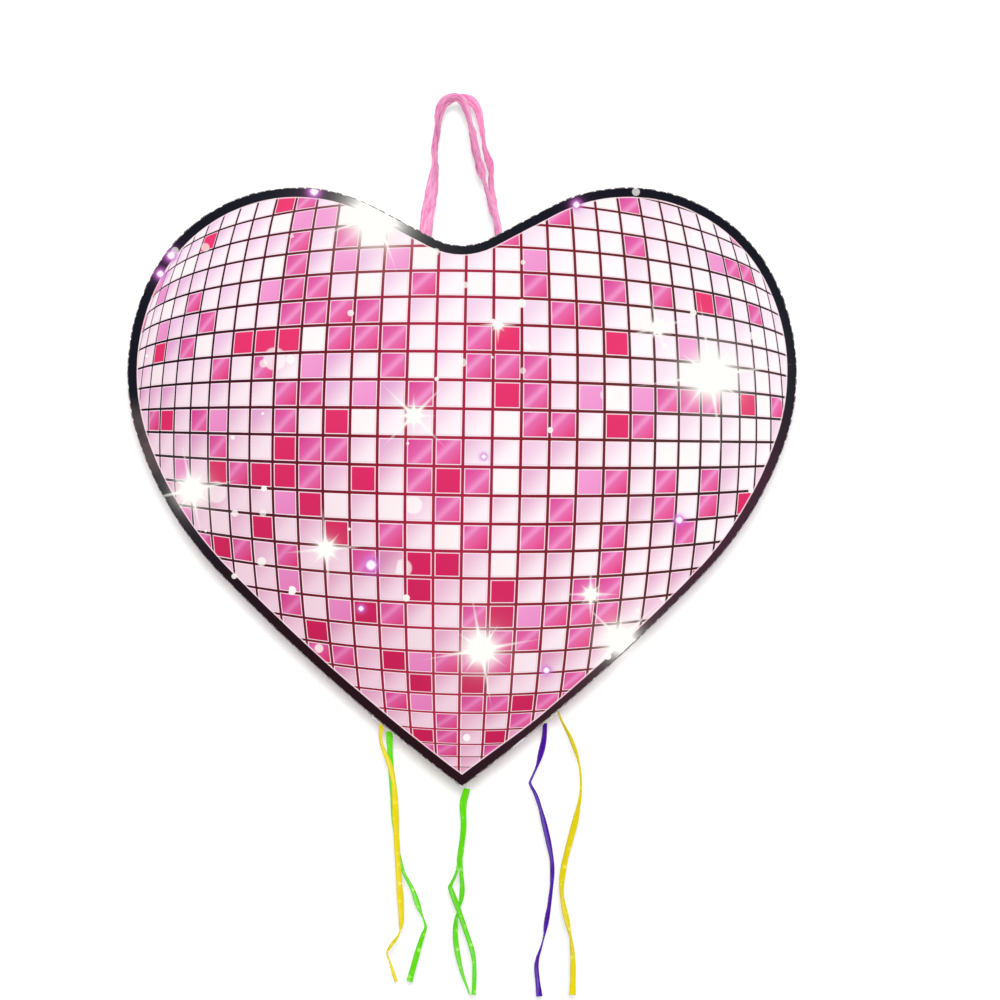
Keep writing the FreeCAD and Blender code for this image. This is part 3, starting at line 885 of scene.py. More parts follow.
# ribbons
def followed(route):
    curve = bpy.data.curves.new("route", "CURVE")
    curve.dimensions = "3D"
    curve.resolution_u = 24
    spline = curve.splines.new("NURBS")
    spline.points.add(len(route) - 1)
    for point, place in zip(spline.points, route):
        point.co = (*[c * 0.001 for c in place], 1.0)
    spline.order_u = 3
    spline.use_endpoint_u = True
    carrier = bpy.data.objects.new("route", curve)
    scene.collection.objects.link(carrier)
    bpy.context.view_layer.update()
    mesh = bpy.data.meshes.new_from_object(carrier)
    points = np.array([v.co for v in mesh.vertices])
    bpy.data.objects.remove(carrier)
    return points


def waves(rng, along, waveLength, amount):
    total = np.zeros(len(along))
    for k in (1.0, 1.9, 3.3):
        total += np.sin(along * 2 * math.pi * k / waveLength + rng.uniform(0, 6.28)) / k
    return total * amount


turnSmoothing = 6             # points to either side that the turn is averaged over


# strip of ribbon: faces the viewer, turned about its own line by "turn" and crumpled
def ribbonStrip(name, route, look, material):
    rng = random.Random(look["seed"])
    points = followed(route)
    gaps = np.linalg.norm(np.diff(points, axis=0), axis=1)
    along = np.concatenate([[0], np.cumsum(gaps)])
    tangent = np.gradient(points, axis=0)
    tangent /= np.linalg.norm(tangent, axis=1)[:, None]
    depthAxis = np.array([0.0, 1.0, 0.0])
    flat = np.cross(tangent, depthAxis)
    flat /= np.linalg.norm(flat, axis=1)[:, None]
    normal = np.cross(tangent, flat)
    shares, angles = zip(*look["turns"])
    turn = np.radians(np.interp(along / along[-1], shares, angles))
    span = 2 * turnSmoothing + 1
    turn = np.convolve(np.pad(turn, turnSmoothing, mode="edge"), np.ones(span) / span, mode="valid")
    turn = turn + waves(rng, along, look["turnWave"], math.radians(look["turnBy"]))
    wide = flat * np.cos(turn)[:, None] + normal * np.sin(turn)[:, None]
    up = np.cross(tangent, wide)
    columns = look["columns"]
    rows = []
    for k in range(columns):
        across = 2 * k / (columns - 1) - 1
        ragged = 1 + waves(rng, along, 0.011, look["ragged"])
        lift = waves(rng, along, look["foldWave"], look["fold"]) + look["arch"] * (1 - across ** 2)
        lift += look["pleat"] * math.cos(k * 2.4) * np.sin(along * 95 + k * 0.9)
        rows.append(points + wide * (across * look["width"] / 2 * ragged)[:, None] + up * lift[:, None])
    rows = np.array(rows)
    half = up * look["thick"] / 2
    places = np.stack(np.meshgrid(np.linspace(0, look["width"], columns), along, indexing="ij"), axis=-1)
    piece = sheetPiece(name, rows + half, rows - half, material, places)
    return piece, points, float(along[-1])


# turns: how far the ribbon is turned from facing forward, in degrees, at shares of its length
hangerLook = {"width": 0.0078, "thick": 0.0003, "columns": 9, "turnWave": 0.04, "turnBy": 5,
              "fold": 0.0003, "foldWave": 0.021, "arch": 0.0009, "ragged": 0.03, "pleat": 0.0005}
pullLook = {"width": 0.0048, "thick": 0.00022, "columns": 5, "turnWave": 0.05, "turnBy": 5,
            "fold": 0.00003, "foldWave": 0.03, "arch": 0.0003, "ragged": 0.0, "pleat": 0.0}

routes = {
    "hanger_ribbon_front": [
        (-22.0, -4.6, -91.0), (-22.3, -4.6, -73.0), (-18.6, -4.6, -55.0), (-16.2, -4.6, -39.0),
        (-17.2, -4.6, -24.0), (-14.0, -4.6, 4.0), (1.2, -4.6, 4.0), (6.8, -4.6, -20.0),
        (9.4, -4.6, -33.0), (13.4, -4.6, -46.0), (16.2, -4.6, -58.0), (22.2, -4.6, -73.0),
        (22.0, -4.6, -91.0)],
    "hanger_ribbon_back": [
        (-22.0, 4.6, -91.0), (-22.1, 4.6, -73.0), (-19.4, 4.6, -55.0), (-17.2, 4.6, -40.0),
        (-16.6, 4.6, -25.0), (-11.5, 4.6, 4.0), (7.8, 4.6, 4.0), (12.2, 4.6, -16.0),
        (14.4, 4.6, -29.0), (18.0, 4.6, -39.0), (17.0, 4.6, -55.0), (22.1, 4.6, -73.0),
        (22.0, 4.6, -91.0)],
    "yellow_left_ribbon": [
        (-48.4, -6.0, -372.9), (-49.0, -6.0, -377.2), (-49.2, -6.0, -385.0), (-43.6, -6.0, -397.0),
        (-40.7, -6.5, -409.0), (-39.8, -7.0, -433.0), (-38.7, -7.0, -458.0), (-36.9, -6.0, -481.0),
        (-36.4, -5.0, -494.0), (-38.6, -4.5, -501.0), (-44.4, -4.9, -508.2), (-45.3, -5.0, -510.4),
        (-44.8, -5.2, -512.6), (-43.0, -6.0, -518.0), (-39.6, -6.5, -528.0)],
    "green_left_ribbon": [
        (-44.0, 6.0, -377.5), (-43.8, 6.0, -381.8), (-43.2, 6.0, -396.0), (-41.8, 6.5, -415.0),
        (-40.4, 7.0, -438.0), (-37.0, 6.0, -460.0), (-30.0, 4.5, -472.0), (-27.0, 4.0, -481.0),
        (-22.6, 4.4, -492.6), (-21.9, 4.5, -495.2), (-23.0, 4.6, -498.0), (-26.6, 5.0, -509.0),
        (-31.8, 6.0, -528.0)],
    "purple_ribbon": [
        (49.6, 6.0, -372.6), (49.7, 6.0, -376.8), (48.9, 6.0, -385.0), (45.2, 6.5, -398.0),
        (41.6, 6.9, -405.6), (40.4, 7.0, -408.2), (41.3, 7.0, -410.4), (44.6, 7.0, -416.0),
        (48.4, 6.5, -429.0), (52.2, 6.0, -445.0), (54.6, 6.0, -459.0), (53.2, 5.0, -476.0),
        (50.4, 4.5, -494.0), (48.0, 4.5, -506.0), (44.2, 5.0, -516.0), (45.2, 6.0, -527.0),
        (46.4, 6.5, -537.0)],
    "yellow_right_ribbon": [
        (57.6, -6.0, -365.2), (58.8, -6.0, -369.8), (61.6, -6.0, -375.0), (65.4, -6.0, -382.0),
        (70.4, -6.5, -396.0), (71.6, -7.0, -412.0), (69.0, -7.0, -428.0), (64.6, -6.5, -444.0),
        (61.0, -6.0, -458.0), (59.4, -5.0, -471.0), (60.2, -4.5, -480.0), (63.4, -4.5, -493.0),
        (65.9, -5.0, -506.0), (66.8, -6.0, -520.0), (66.2, -6.5, -536.0)],
    "tip_ribbon_front": [
        (2.6, -2.8, -412.0), (2.4, -2.8, -413.3), (0.0, -2.8, -421.0), (1.2, -2.8, -434.0),
        (-0.8, -2.8, -450.0), (-2.8, -2.8, -461.0), (-6.6, -2.9, -469.2), (-7.5, -3.0, -471.2),
        (-6.6, -3.0, -473.4), (-3.2, -3.2, -482.0), (1.6, -3.4, -496.0), (6.8, -3.6, -511.0),
        (7.6, -3.4, -524.0), (6.8, -3.0, -536.0)],
    "tip_ribbon_back": [
        (2.8, 2.8, -412.0), (2.6, 2.8, -413.3), (0.4, 2.8, -421.0), (1.0, 2.8, -434.0),
        (-1.0, 2.8, -450.0), (-0.6, 2.8, -463.0), (0.4, 3.0, -476.0), (-3.8, 3.2, -489.0),
        (-4.4, 3.4, -502.0), (-1.8, 3.6, -517.0), (1.4, 3.4, -528.0), (4.6, 3.0, -536.0)],
}

ribbons = {
    "hanger_ribbon_front": ("shell", "pink_ribbon", pinkRibbon, hangerLook, {"seed": 3, "turns": [
        (0, 8), (0.08, 12), (0.15, 4), (0.2, 18), (0.25, 58), (0.31, 70), (0.4, 66), (0.55, 64), (0.62, 60),
        (0.7, 52), (0.75, 60), (0.79, 74), (0.84, 66), (0.9, 60), (1, 62)]}),
    "hanger_ribbon_back": ("shell", "pink_ribbon", pinkRibbon, hangerLook, {"seed": 14, "turns": [
        (0, 40), (0.12, 55), (0.2, 70), (0.3, 76), (0.45, 70), (0.54, 62), (0.58, 44), (0.62, 66), (0.66, 76),
        (0.71, 62), (0.76, 72), (0.81, 56), (0.86, 70), (0.92, 62), (1, 62)]}),
    "yellow_left_ribbon": ("yellow_left_pull", "yellow_ribbon", yellowRibbon, pullLook, {"seed": 5, "turns": [
        (0, 62), (0.08, 70), (0.13, 52), (0.25, 44), (0.7, 44), (0.76, 50), (0.79, 74), (0.84, 60),
        (0.9, 76), (1, 72)]}),
    "green_left_ribbon": ("green_left_pull", "green_ribbon", greenRibbon, pullLook, {"seed": 6, "turns": [
        (0, 40), (0.2, 46), (0.5, 60), (0.62, 68), (0.68, 50), (0.73, 74), (0.8, 58), (0.9, 46), (1, 50)]}),
    "purple_ribbon": ("purple_pull", "purple_ribbon", purpleRibbon, pullLook, {"seed": 7, "turns": [
        (0, 52), (0.1, 50), (0.17, 76), (0.21, 72), (0.3, 56), (0.45, 54), (0.6, 60), (0.74, 64), (0.8, 78),
        (0.86, 60), (1, 48)]}),
    "yellow_right_ribbon": ("yellow_right_pull", "yellow_ribbon", yellowRibbon, pullLook,
                            {"seed": 8, "turns": [
        (0, 70), (0.12, 66), (0.22, 76), (0.3, 64), (0.4, 46), (0.6, 42), (0.66, 62), (0.72, 52), (0.8, 66),
        (0.88, 48), (1, 44)]}),
    "tip_ribbon_front": ("tip_ribbons", "green_ribbon", greenRibbon, pullLook, {"seed": 9, "turns": [
        (0, 40), (0.15, 46), (0.32, 44), (0.38, 62), (0.45, 72), (0.5, 56), (0.6, 48), (0.8, 52),
        (0.88, 70), (1, 56)]}),
    "tip_ribbon_back": ("tip_ribbons", "green_ribbon", greenRibbon, pullLook, {"seed": 10, "turns": [
        (0, 40), (0.2, 56), (0.4, 66), (0.5, 58), (0.6, 70), (0.66, 50), (0.8, 46), (0.86, 72), (1, 76)]}),
}

for node, (body, slotName, material, base, change) in ribbons.items():
    look = base | change
    piece, points, length = ribbonStrip(node + "_strip", routes[node], look, material)
    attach(piece, body)
    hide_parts(node)
    print("ribbon length", node, round(length, 4))
say("ribbons")


# crepe side walls
wall = {
    "halfDepth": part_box("side_wrap_left")[1].y, "doorHalfDepth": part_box("door_wrap")[1].y,
    "thick": 0.00035, "ripple": 0.00012,
    "holeX": 0.022, "holeY": 0.0046, "holeRadius": 0.0043, "holeClear": 0.0072,
}


def acrossDepth(half):
    fine = np.linspace(-0.0098, 0.0098, 29)
    coarse = np.linspace(0.0098, half, 11)[1:]
    return np.concatenate([-coarse[::-1], fine, coarse])


midZ = -0.2                   # parts the outline into its top and its bottom


# sheet of rippled paper along rows of outline points
def wallSheet(name, outline, half, seed, lift=0.0):
    rng = random.Random(seed)
    steps = np.linalg.norm(np.diff(outline[:, :2], axis=0), axis=1)
    along = np.concatenate([[0], np.cumsum(steps)])
    ys = acrossDepth(half)
    ripple = waves(rng, along, 0.0093, wall["ripple"])[:, None] * np.cos(ys * 260 + rng.uniform(0, 6))[None,
            :]
    ripple += waves(rng, along, 0.031, wall["ripple"])[:, None] + waves(rng, ys, 0.017,
            wall["ripple"] * 0.6)[None, :]
    ripple = np.clip(ripple, -wall["thick"] * 0.8, None)

    def grid(height):
        x = outline[:, 0, None] + outline[:, 2, None] * height
        z = outline[:, 1, None] + outline[:, 3, None] * height
        return np.stack([x, np.broadcast_to(ys, x.shape), z], axis=-1)

    top, bottom = grid(lift + ripple), grid(np.full_like(ripple, lift - wall["thick"]))
    middle = (top[1:, 1:] + top[:-1, :-1]) / 2
    keep = np.ones(middle.shape[:2], bool)
    for side in (-1, 1):
        for y in (-wall["holeY"], wall["holeY"]):
            away = np.hypot(middle[..., 0] - side * wall["holeX"], middle[..., 1] - y)
            keep &= (away > wall["holeRadius"]) | (middle[..., 2] < midZ)
    places = np.stack(np.broadcast_arrays(along[:, None], ys[None, :]), axis=-1)
    return sheetPiece(name, top, bottom, whiteCrepe, places, keep)


hingeGap = 0.0003
hingeClear = 0.0042           # the crease reaches this far to either side of the hinge
fineStep = 0.0009
rightOutline = halfOutline(0.0, fineStep, heart["doorHingeX"] + hingeGap)
leftOutline = mirrored(halfOutline(0.0, fineStep))


def thinned(outline):
    nearHoles = (np.abs(outline[:, 0]) < 0.03) & (outline[:, 1] > midZ)
    every = np.arange(len(outline)) % 3 == 0
    chosen = nearHoles | every
    chosen[[0, -1]] = True
    return outline[chosen]


settle(wallSheet("rightWall", thinned(rightOutline), wall["halfDepth"], 21), "shell", "crepe",
       "side_wrap_right")
settle(wallSheet("leftWall", thinned(leftOutline), wall["halfDepth"], 22), "shell", "crepe", "side_wrap_left")
doorOutline = sidePoints(heart["doorHingeX"] - hingeGap, heart["doorTipX"], 0.0022)
settle(wallSheet("doorWall", doorOutline, wall["doorHalfDepth"], 23), "release_door", "crepe", "door_wrap")
creaseOutline = sidePoints(heart["doorHingeX"] + hingeClear, heart["doorHingeX"] - hingeClear, 0.0006)
crease = wallSheet("doorCrease", creaseOutline, wall["doorHalfDepth"] - 0.0004, 24, lift=0.0005)
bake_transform(crease)
say("crepe walls")

fringe = {
    "pitch": 0.0047, "leafWidth": 0.0044, "leafCurl": 0.0003, "leafTaper": 0.16, "paper": 0.00012,
    "crumple": 0.00026, "seed": 4,
    "rows": [(0.0332, 0.0224), (0.0130, 0.0256),
             (-0.0110, 0.0254)],   # where a row starts, and its leaf's length
    "clear": 0.0034, "baseLift": 0.00014, "wrinkleScale": 190.0,
    "turnFrom": (-0.009, -0.05, -0.05), "turnTo": (0.0, 0.05, 0.05),
    "sizeFrom": (0.92, 0.93, 0.7), "sizeTo": (1.04, 1.0, 1.3),
}


def addNode(tree, kind, **settings):
    node = tree.nodes.new(kind)
    inputs = settings.pop("inputs", {})
    for name, value in settings.items():
        setattr(node, name, value)
    for name, value in inputs.items():
        feed(node.inputs[name], value)
    return node


# one curled leaf, a closed thin sheet that hangs down from its upper edge
def fringeLeaf(tree, given):
    grid = addNode(tree, "GeometryNodeMeshGrid",
                   inputs={"Size X": given["Leaf Width"], "Size Y": given["Leaf Length"], "Vertices X": 3,
                           "Vertices Y": 7})
    flatMap = addNode(tree, "ShaderNodeVectorMath", operation="MULTIPLY", inputs={0: grid.outputs["UV Map"]})
    sizes = addNode(tree, "ShaderNodeCombineXYZ",
                    inputs={"X": given["Leaf Width"], "Y": given["Leaf Length"]})
    tree.links.new(sizes.outputs[0], flatMap.inputs[1])
    mapped = addNode(tree, "GeometryNodeStoreNamedAttribute", data_type="FLOAT2", domain="CORNER",
                     inputs={"Geometry": grid.outputs["Mesh"], "Name": "paperMap",
                             "Value": flatMap.outputs[0]})
    place = tree.nodes.new("GeometryNodeInputPosition")
    split = addNode(tree, "ShaderNodeSeparateXYZ", inputs={0: place.outputs[0]})
    share = minus(0.5, over(split.outputs["Y"], given["Leaf Length"]))
    reach = minus(1.0, calc("POWER", minus(1.0, share), 1.8))
    narrow = minus(1.0, times(given["Taper"], calc("POWER", reach, 3.0)))
    flare = calc("POWER", calc("MAXIMUM", over(minus(reach, 0.9), 0.1), 0.0), 1.2)
    rise = plus(times(reach, 0.32), times(flare, 0.68))
    lift = plus(fringe["baseLift"], times(given["Curl"], rise))
    bent = addNode(tree, "ShaderNodeCombineXYZ", inputs={
        "X": times(split.outputs["X"], narrow),
        "Y": times(times(reach, given["Leaf Length"]), -1.0), "Z": lift})
    leaf = addNode(tree, "GeometryNodeSetPosition",
                   inputs={"Geometry": mapped.outputs[0], "Position": bent.outputs[0]})
    raised = addNode(tree, "GeometryNodeExtrudeMesh",
                     inputs={"Mesh": leaf.outputs[0], "Offset Scale": given["Paper"], "Individual": False})
    under = addNode(tree, "GeometryNodeFlipFaces", inputs={"Mesh": leaf.outputs[0]})
    both = tree.nodes.new("GeometryNodeJoinGeometry")
    tree.links.new(raised.outputs["Mesh"], both.inputs[0])
    tree.links.new(under.outputs[0], both.inputs[0])
    closed = addNode(tree, "GeometryNodeMergeByDistance",
                     inputs={"Geometry": both.outputs[0], "Distance": 1e-6})
    return closed.outputs[0]


# leaves of crepe paper along a line of points whose "outward" attribute points away from the wall
def fringeTree():
    tree = bpy.data.node_groups.new("crepeFringe", "GeometryNodeTree")
    floats = [(title, "Float")
              for title in ("Pitch", "Leaf Width", "Leaf Length", "Curl", "Taper", "Paper", "Crumple")]
    for title, kind in [("Geometry", "Geometry")] + floats + [("Seed", "Int"), ("Material", "Material")]:
        tree.interface.new_socket(name=title, in_out="INPUT", socket_type="NodeSocket" + kind)
    tree.interface.new_socket(name="Geometry", in_out="OUTPUT", socket_type="NodeSocketGeometry")
    given = tree.nodes.new("NodeGroupInput").outputs
    leaf = fringeLeaf(tree, given)
    line = addNode(tree, "GeometryNodeMeshToCurve", inputs={"Mesh": given["Geometry"]})
    spaced = addNode(tree, "GeometryNodeResampleCurve", mode="LENGTH",
                     inputs={"Curve": line.outputs[0], "Length": given["Pitch"]})
    outward = addNode(tree, "GeometryNodeInputNamedAttribute", data_type="FLOAT_VECTOR",
                      inputs={"Name": "outward"})
    tangent = tree.nodes.new("GeometryNodeInputTangent")
    facing = addNode(tree, "FunctionNodeAxesToRotation", primary_axis="Z", secondary_axis="X",
                     inputs={"Primary Axis": outward.outputs[0], "Secondary Axis": tangent.outputs[0]})
    jitter = addNode(tree, "FunctionNodeRandomValue", data_type="FLOAT_VECTOR",
                     inputs={"Seed": given["Seed"]})
    feed(jitter.inputs[0], fringe["turnFrom"])
    feed(jitter.inputs[1], fringe["turnTo"])
    angled = addNode(tree, "FunctionNodeEulerToRotation", inputs={0: jitter.outputs[0]})
    turned = addNode(tree, "FunctionNodeRotateRotation", rotation_space="LOCAL",
                     inputs={"Rotation": facing.outputs[0], "Rotate By": angled.outputs[0]})
    size = addNode(tree, "FunctionNodeRandomValue", data_type="FLOAT_VECTOR",
                   inputs={"Seed": plus(given["Seed"], 7.0)})
    feed(size.inputs[0], fringe["sizeFrom"])
    feed(size.inputs[1], fringe["sizeTo"])
    leaves = addNode(tree, "GeometryNodeInstanceOnPoints", inputs={
        "Points": spaced.outputs[0], "Instance": leaf, "Rotation": turned.outputs[0],
        "Scale": size.outputs[0]})
    real = addNode(tree, "GeometryNodeRealizeInstances", inputs={0: leaves.outputs[0]})
    wrinkle = addNode(tree, "ShaderNodeTexNoise", inputs={"Scale": fringe["wrinkleScale"], "Detail": 3.0})
    middle = addNode(tree, "ShaderNodeVectorMath", operation="SUBTRACT",
                     inputs={0: wrinkle.outputs["Color"], 1: (0.5, 0.5, 0.5)})
    scaled = addNode(tree, "ShaderNodeVectorMath", operation="SCALE",
                     inputs={0: middle.outputs[0], "Scale": given["Crumple"]})
    crumpled = addNode(tree, "GeometryNodeSetPosition",
                       inputs={"Geometry": real.outputs[0], "Offset": scaled.outputs[0]})
    dressed = addNode(tree, "GeometryNodeSetMaterial",
                      inputs={"Geometry": crumpled.outputs[0], "Material": given["Material"]})
    tree.links.new(dressed.outputs[0], tree.nodes.new("NodeGroupOutput").inputs[0])
    return tree


crepeFringe = fringeTree()


# runs of outline points where a row of fringe may be, leaving out the x ranges in gaps
def allowedRuns(outline, gaps):
    allowed = np.ones(len(outline), bool)
    for low, high, top in gaps:
        inside = (outline[:, 0] > low) & (outline[:, 0] < high) & ((outline[:, 1] > midZ) == top)
        allowed &= ~inside
    spans, current = [], []
    for keep, point in zip(allowed, outline):
        if keep:
            current.append(point)
        elif current:
            spans.append(current)
            current = []
    if current:
        spans.append(current)
    return [np.array(span) for span in spans if len(span) > 6]


def fringeRow(name, outline, y, length, gaps, seed):
    vertices, edges, normals = [], [], []
    for span in allowedRuns(outline, gaps):
        start = len(vertices)
        vertices += [(x, y, z) for x, z, _, _ in span]
        normals += [(nx, 0.0, nz) for _, _, nx, nz in span]
        edges += [(start + i, start + i + 1) for i in range(len(span) - 1)]
    mesh = bpy.data.meshes.new(name)
    mesh.from_pydata(vertices, edges, [])
    attribute = mesh.attributes.new("outward", "FLOAT_VECTOR", "POINT")
    attribute.data.foreach_set("vector", [c for normal in normals for c in normal])
    host = bpy.data.objects.new(name, mesh)
    scene.collection.objects.link(host)
    modifier = host.modifiers.new("fringe", "NODES")
    modifier.node_group = crepeFringe
    wanted = {"Pitch": fringe["pitch"], "Leaf Width": fringe["leafWidth"], "Leaf Length": length,
              "Curl": fringe["leafCurl"],
              "Taper": fringe["leafTaper"], "Paper": fringe["paper"], "Crumple": fringe["crumple"],
              "Seed": fringe["seed"] + seed, "Material": whiteCrepe}
    for socket in crepeFringe.interface.items_tree:
        if socket.in_out == "INPUT" and socket.name in wanted:
            modifier[socket.identifier] = wanted[socket.name]
    bpy.context.view_layer.update()
    evaluated = host.evaluated_get(bpy.context.evaluated_depsgraph_get())
    made = bpy.data.meshes.new_from_object(evaluated)
    host.modifiers.clear()
    host.data = made
    made.name = name
    return host


patchNodes = [row["node"] for row in frame["record"]["subparts"] if row["material_slot"] == "patch_paper"]
patchBoxes = [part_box(node) for node in patchNodes]
patchGaps = [(low.x - fringe["clear"], high.x + fringe["clear"], False) for low, high in patchBoxes]
hangerGaps = [(side * wall["holeX"] - wall["holeClear"], side * wall["holeX"] + wall["holeClear"], True)
              for side in (-1, 1)]
fringeHosts = {
    "rightFringe": (halfOutline(0.0, fineStep, heart["doorHingeX"] + hingeClear), "shell"),
    "leftFringe": (leftOutline, "shell"),
    "doorFringe": (sidePoints(heart["doorHingeX"] - hingeClear, heart["doorTipX"] + 0.0024, fineStep),
                   "release_door"),
}
for k, (name, (outline, body)) in enumerate(fringeHosts.items()):
    rows = []
    for r, (y, length) in enumerate(fringe["rows"]):
        gaps = patchGaps + hangerGaps if r == 1 else []
        rows.append(fringeRow(f"{name}Row{r}", outline, y, length, gaps, 10 * k + r))
    whole = joined(name, rows, whiteCrepe)
    settle(whole, body, "crepe")
say("crepe fringe")

# the hatch's paper hinge
hatchHinge = {"half": 0.0048, "lift": 0.00012, "thick": 0.0002}
hingeY, hingeZ = hatchPrintBox[1].y, hatchBox[1].z + hatchGap
rowsZ = np.linspace(hingeZ + hatchHinge["half"], hingeZ - hatchHinge["half"], 17)
columnsX = np.linspace(hatchBox[0].x, hatchBox[1].x, 25)
hingeGrid = np.stack(np.broadcast_arrays(columnsX[None, :], hingeY, rowsZ[:, None]), axis=-1)
lifted = hingeGrid + np.array([0, hatchHinge["lift"] + hatchHinge["thick"], 0])
hatchCrease = sheetPiece("hatchCrease", lifted, hingeGrid + np.array([0, 0.00002, 0]), frontMosaic,
                         hingeGrid[..., [0, 2]])
markRim(hatchCrease, [offRim] * len(hatchCrease.data.vertices))
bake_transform(hatchCrease)

# patches and knots
patch = {"thick": 0.00045, "curl": 0.0009, "round": 0.09, "cells": 14}


def curledPatch(name, node, seed):
    rng = random.Random(seed)
    low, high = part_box(node)
    side = 1 if low.x > 0 else -1
    slope = 0.0004
    near, far = sorted((abs(low.x), abs(high.x)))
    outline = sidePoints(far - slope, near + slope, (far - near) / patch["cells"])
    if side < 0:
        outline = mirrored(outline)
    ys = np.linspace(low.y, high.y, patch["cells"] + 1)
    u = np.linspace(-1, 1, len(outline))[:, None]
    v = np.linspace(-1, 1, len(ys))[None, :]
    roundedY = (ys.mean() + (ys - ys.mean())[None, :] * (1 - patch["round"] * u ** 4))
    shrink = 1 - patch["round"] * v ** 4
    centre = outline[len(outline) // 2]
    lift = patch["curl"] * (np.clip(u * v * rng.choice((-1, 1)), 0, 1) ** 2 * 1.1 + 0.35 * np.abs(v) ** 3)
    lift = lift + 0.00008 * np.sin(u * 7 + rng.uniform(0, 6)) * np.cos(v * 5)

    def grid(height):
        x = centre[0] + (outline[:, 0, None] - centre[0]) * shrink + outline[:, 2, None] * height
        z = centre[1] + (outline[:, 1, None] - centre[1]) * shrink + outline[:, 3, None] * height
        return np.stack([x, np.broadcast_to(roundedY, x.shape), z], axis=-1)

    places = np.stack(np.broadcast_arrays(u, v), axis=-1) * 0.005
    return sheetPiece(name, grid(lift + patch["thick"] + 0.00015), grid(lift + 0.00015), whitePatch, places)


for k, node in enumerate(patchNodes):
    body = next(name for name, nodes in frame["record"]["behaviour"]["bodies"].items() if node in nodes)
    settle(curledPatch(node + "_paper", node, 40 + k), body, "patch_paper", node)

knot = {"tube": 0.0019, "turns": 132, "sides": 10}


# three-lobed knot of bunched ribbon
def ribbonKnot(name, node, seed):
    rng = random.Random(seed)
    low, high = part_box(node)
    centre = np.array((low + high) / 2)
    size = np.array((high - low) / 2) - knot["tube"] * 1.15
    t = np.linspace(0, 2 * math.pi, knot["turns"], endpoint=False)
    path = np.stack([np.sin(3 * t), (2 + np.cos(3 * t)) * np.cos(2 * t) / 3,
                     (2 + np.cos(3 * t)) * np.sin(2 * t) / 3], axis=1)
    path = centre + path * size
    tangent = np.roll(path, -1, axis=0) - np.roll(path, 1, axis=0)
    tangent /= np.linalg.norm(tangent, axis=1)[:, None]
    aside = np.cross(tangent, (path - centre))
    aside /= np.linalg.norm(aside, axis=1)[:, None]
    out = np.cross(aside, tangent)
    angles = np.linspace(0, 2 * math.pi, knot["sides"], endpoint=False)
    crush = np.array([[rng.uniform(0.78, 1.12) for _ in angles] for _ in t])
    crush = (crush + np.roll(crush, 1, axis=0) + np.roll(crush, -1, axis=0)) / 3
    rings = path[:, None] + knot["tube"] * crush[..., None] * (
        aside[:, None] * np.cos(angles)[None, :, None] * 1.15 + out[:, None]
        * np.sin(angles)[None, :, None] * 0.85)
    sides = knot["sides"]
    faces = []
    for i in range(len(t)):
        for j in range(sides):
            a, b = i * sides, ((i + 1) % len(t)) * sides
            faces.append((a + j, a + (j + 1) % sides, b + (j + 1) % sides, b + j))
    piece = newPiece(name, rings.reshape(-1, 3), faces, pinkRibbon, smooth=True)
    layer = piece.data.uv_layers.new(name="paperMap")
    for loop in piece.data.loops:
        i, j = divmod(loop.vertex_index, sides)
        layer.data[loop.index].uv = (j * 0.0012, i * 0.0006)
    tidyMesh(piece.data)
    return piece


for k, node in enumerate(("hanger_knot_left", "hanger_knot_right")):
    settle(ribbonKnot(node + "_tied", node, 60 + k), "shell", "pink_ribbon", node)
say("patches and knots")


# light and backdrop
studio = {
    "wallGap": 0.006, "floorDrop": 0.16, "bend": 0.08, "bendSteps": 8, "high": 6.0, "front": -12.0,
    "halfWide": 7.0,
    "glow": 0.16, "fillDegrees": 30.0,
    "sunDegrees": 7.0, "sunUp": 4.0, "sunRight": 0.5, "sunPower": 1.72,
    "sidePower": 1.6, "topPower": 1.3, "rearPower": 1.0, "ambient": 0.5, "backdrop": 1.0,
}


def stageMaterial(glow):
    material, tree, shader = newMaterial("paleStage", roughness=0.9, specular=0.0)
    grain = noise(objectCoords(tree), 35.0, 2.0)
    feed(shader.inputs["Base Color"], mixed(grain, srgb(250, 250, 250), srgb(247, 247, 247)))
    shader.inputs["Emission Color"].default_value = (1, 1, 1, 1)
    shader.inputs["Emission Strength"].default_value = glow
    output = tree.nodes["Material Output"]
    clear = tree.nodes.new("ShaderNodeBsdfTransparent")
    choice = tree.nodes.new("ShaderNodeMixShader")
    facing = tree.nodes.new("ShaderNodeNewGeometry")
    tree.links.new(facing.outputs["Backfacing"], choice.inputs[0])
    tree.links.new(shader.outputs[0], choice.inputs[1])
    tree.links.new(clear.outputs[0], choice.inputs[2])
    tree.links.new(choice.outputs[0], output.inputs[0])
    return material


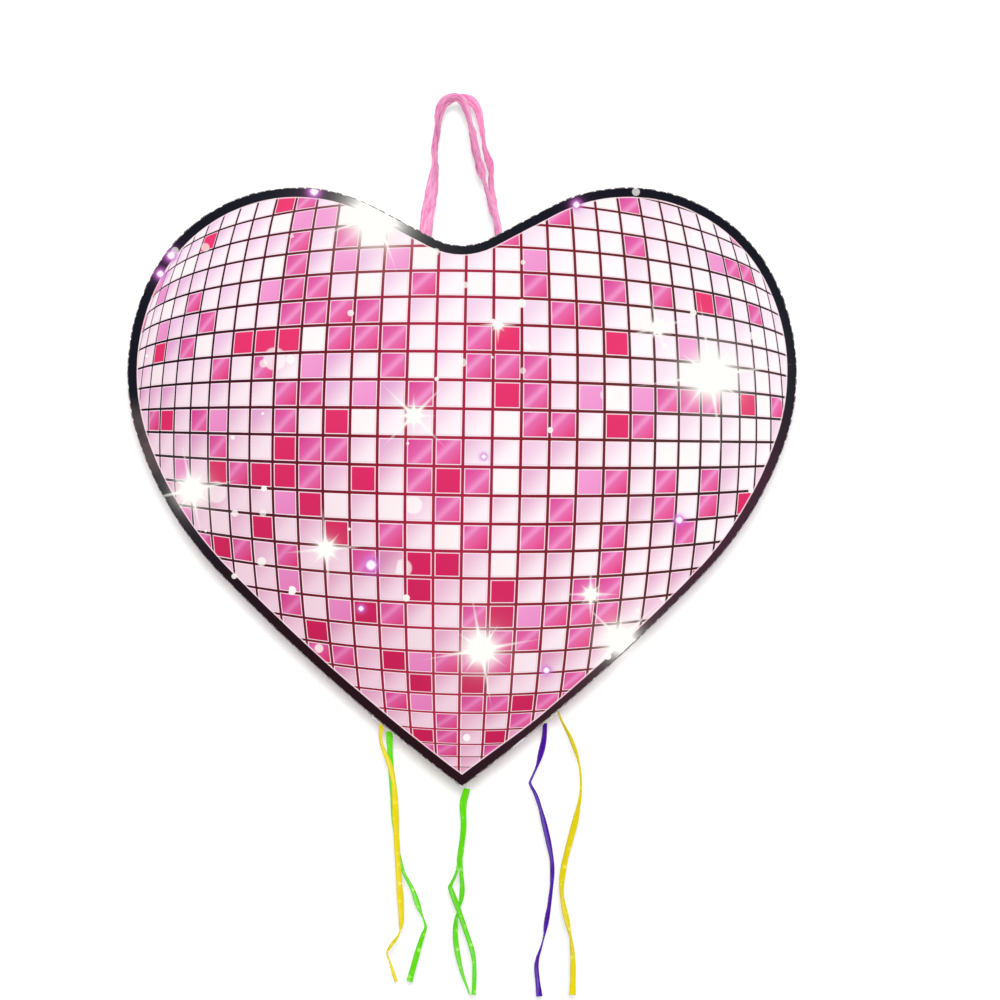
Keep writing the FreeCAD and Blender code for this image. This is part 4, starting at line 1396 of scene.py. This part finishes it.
# wall close behind the pinata that sweeps forward into the floor
def addStage():
    wallY = backBox[1].y + studio["wallGap"]
    floorZ = cadBox[0].z - studio["floorDrop"]
    radius, steps = studio["bend"], studio["bendSteps"]
    profile = [(wallY, studio["high"]), (wallY, floorZ + radius)]
    for i in range(1, steps + 1):
        angle = math.pi / 2 * i / steps
        profile.append((wallY - radius * (1 - math.cos(angle)), floorZ + radius * (1 - math.sin(angle))))
    profile.append((studio["front"], floorZ))
    vertices = [(x, y, z) for x in (-studio["halfWide"], studio["halfWide"]) for y, z in profile]
    count = len(profile)
    faces = [(i, i + 1, i + 1 + count, i + count) for i in range(count - 1)]
    piece = newPiece("stage", vertices, faces, stageMaterial(studio["glow"]), smooth=True)
    for flag in ("visible_diffuse", "visible_glossy", "visible_transmission", "visible_shadow"):
        setattr(piece, flag, False)
    if piece.data.polygons[0].normal.y > 0:
        piece.data.flip_normals()


def addSun(name, power, direction, degrees):
    data = bpy.data.lights.new(name, "SUN")
    data.energy = power
    data.angle = math.radians(degrees)
    light = bpy.data.objects.new(name, data)
    light.rotation_euler = Vector(direction).to_track_quat("-Z", "Y").to_euler()
    scene.collection.objects.link(light)


addStage()
up, right = math.radians(studio["sunUp"]), math.radians(studio["sunRight"])
addSun("frontSoftbox", studio["sunPower"], (-math.sin(right), math.cos(up), -math.sin(up)),
       studio["sunDegrees"])
addSun("rearSoftbox", studio["rearPower"], (0.1, -0.98, -0.15), studio["fillDegrees"])
addSun("topSoftbox", studio["topPower"], (0.0, -0.2, -1.0), studio["fillDegrees"])
addSun("leftSoftbox", studio["sidePower"], (1.0, -0.2, 0.35), studio["fillDegrees"])
addSun("rightSoftbox", studio["sidePower"], (-1.0, -0.2, 0.35), studio["fillDegrees"])
world = bpy.data.worlds.new("studio")
world.use_nodes = True
sky = world.node_tree.nodes["Background"]
sky.inputs[0].default_value = (1.0, 1.0, 1.0, 1.0)
seen = world.node_tree.nodes.new("ShaderNodeLightPath").outputs["Is Camera Ray"]
sky.inputs[1].default_value = studio["ambient"]
lit = calc("MULTIPLY_ADD", seen, studio["backdrop"] - studio["ambient"], studio["ambient"])
feed(sky.inputs[1], lit)
scene.world = world
say("light")
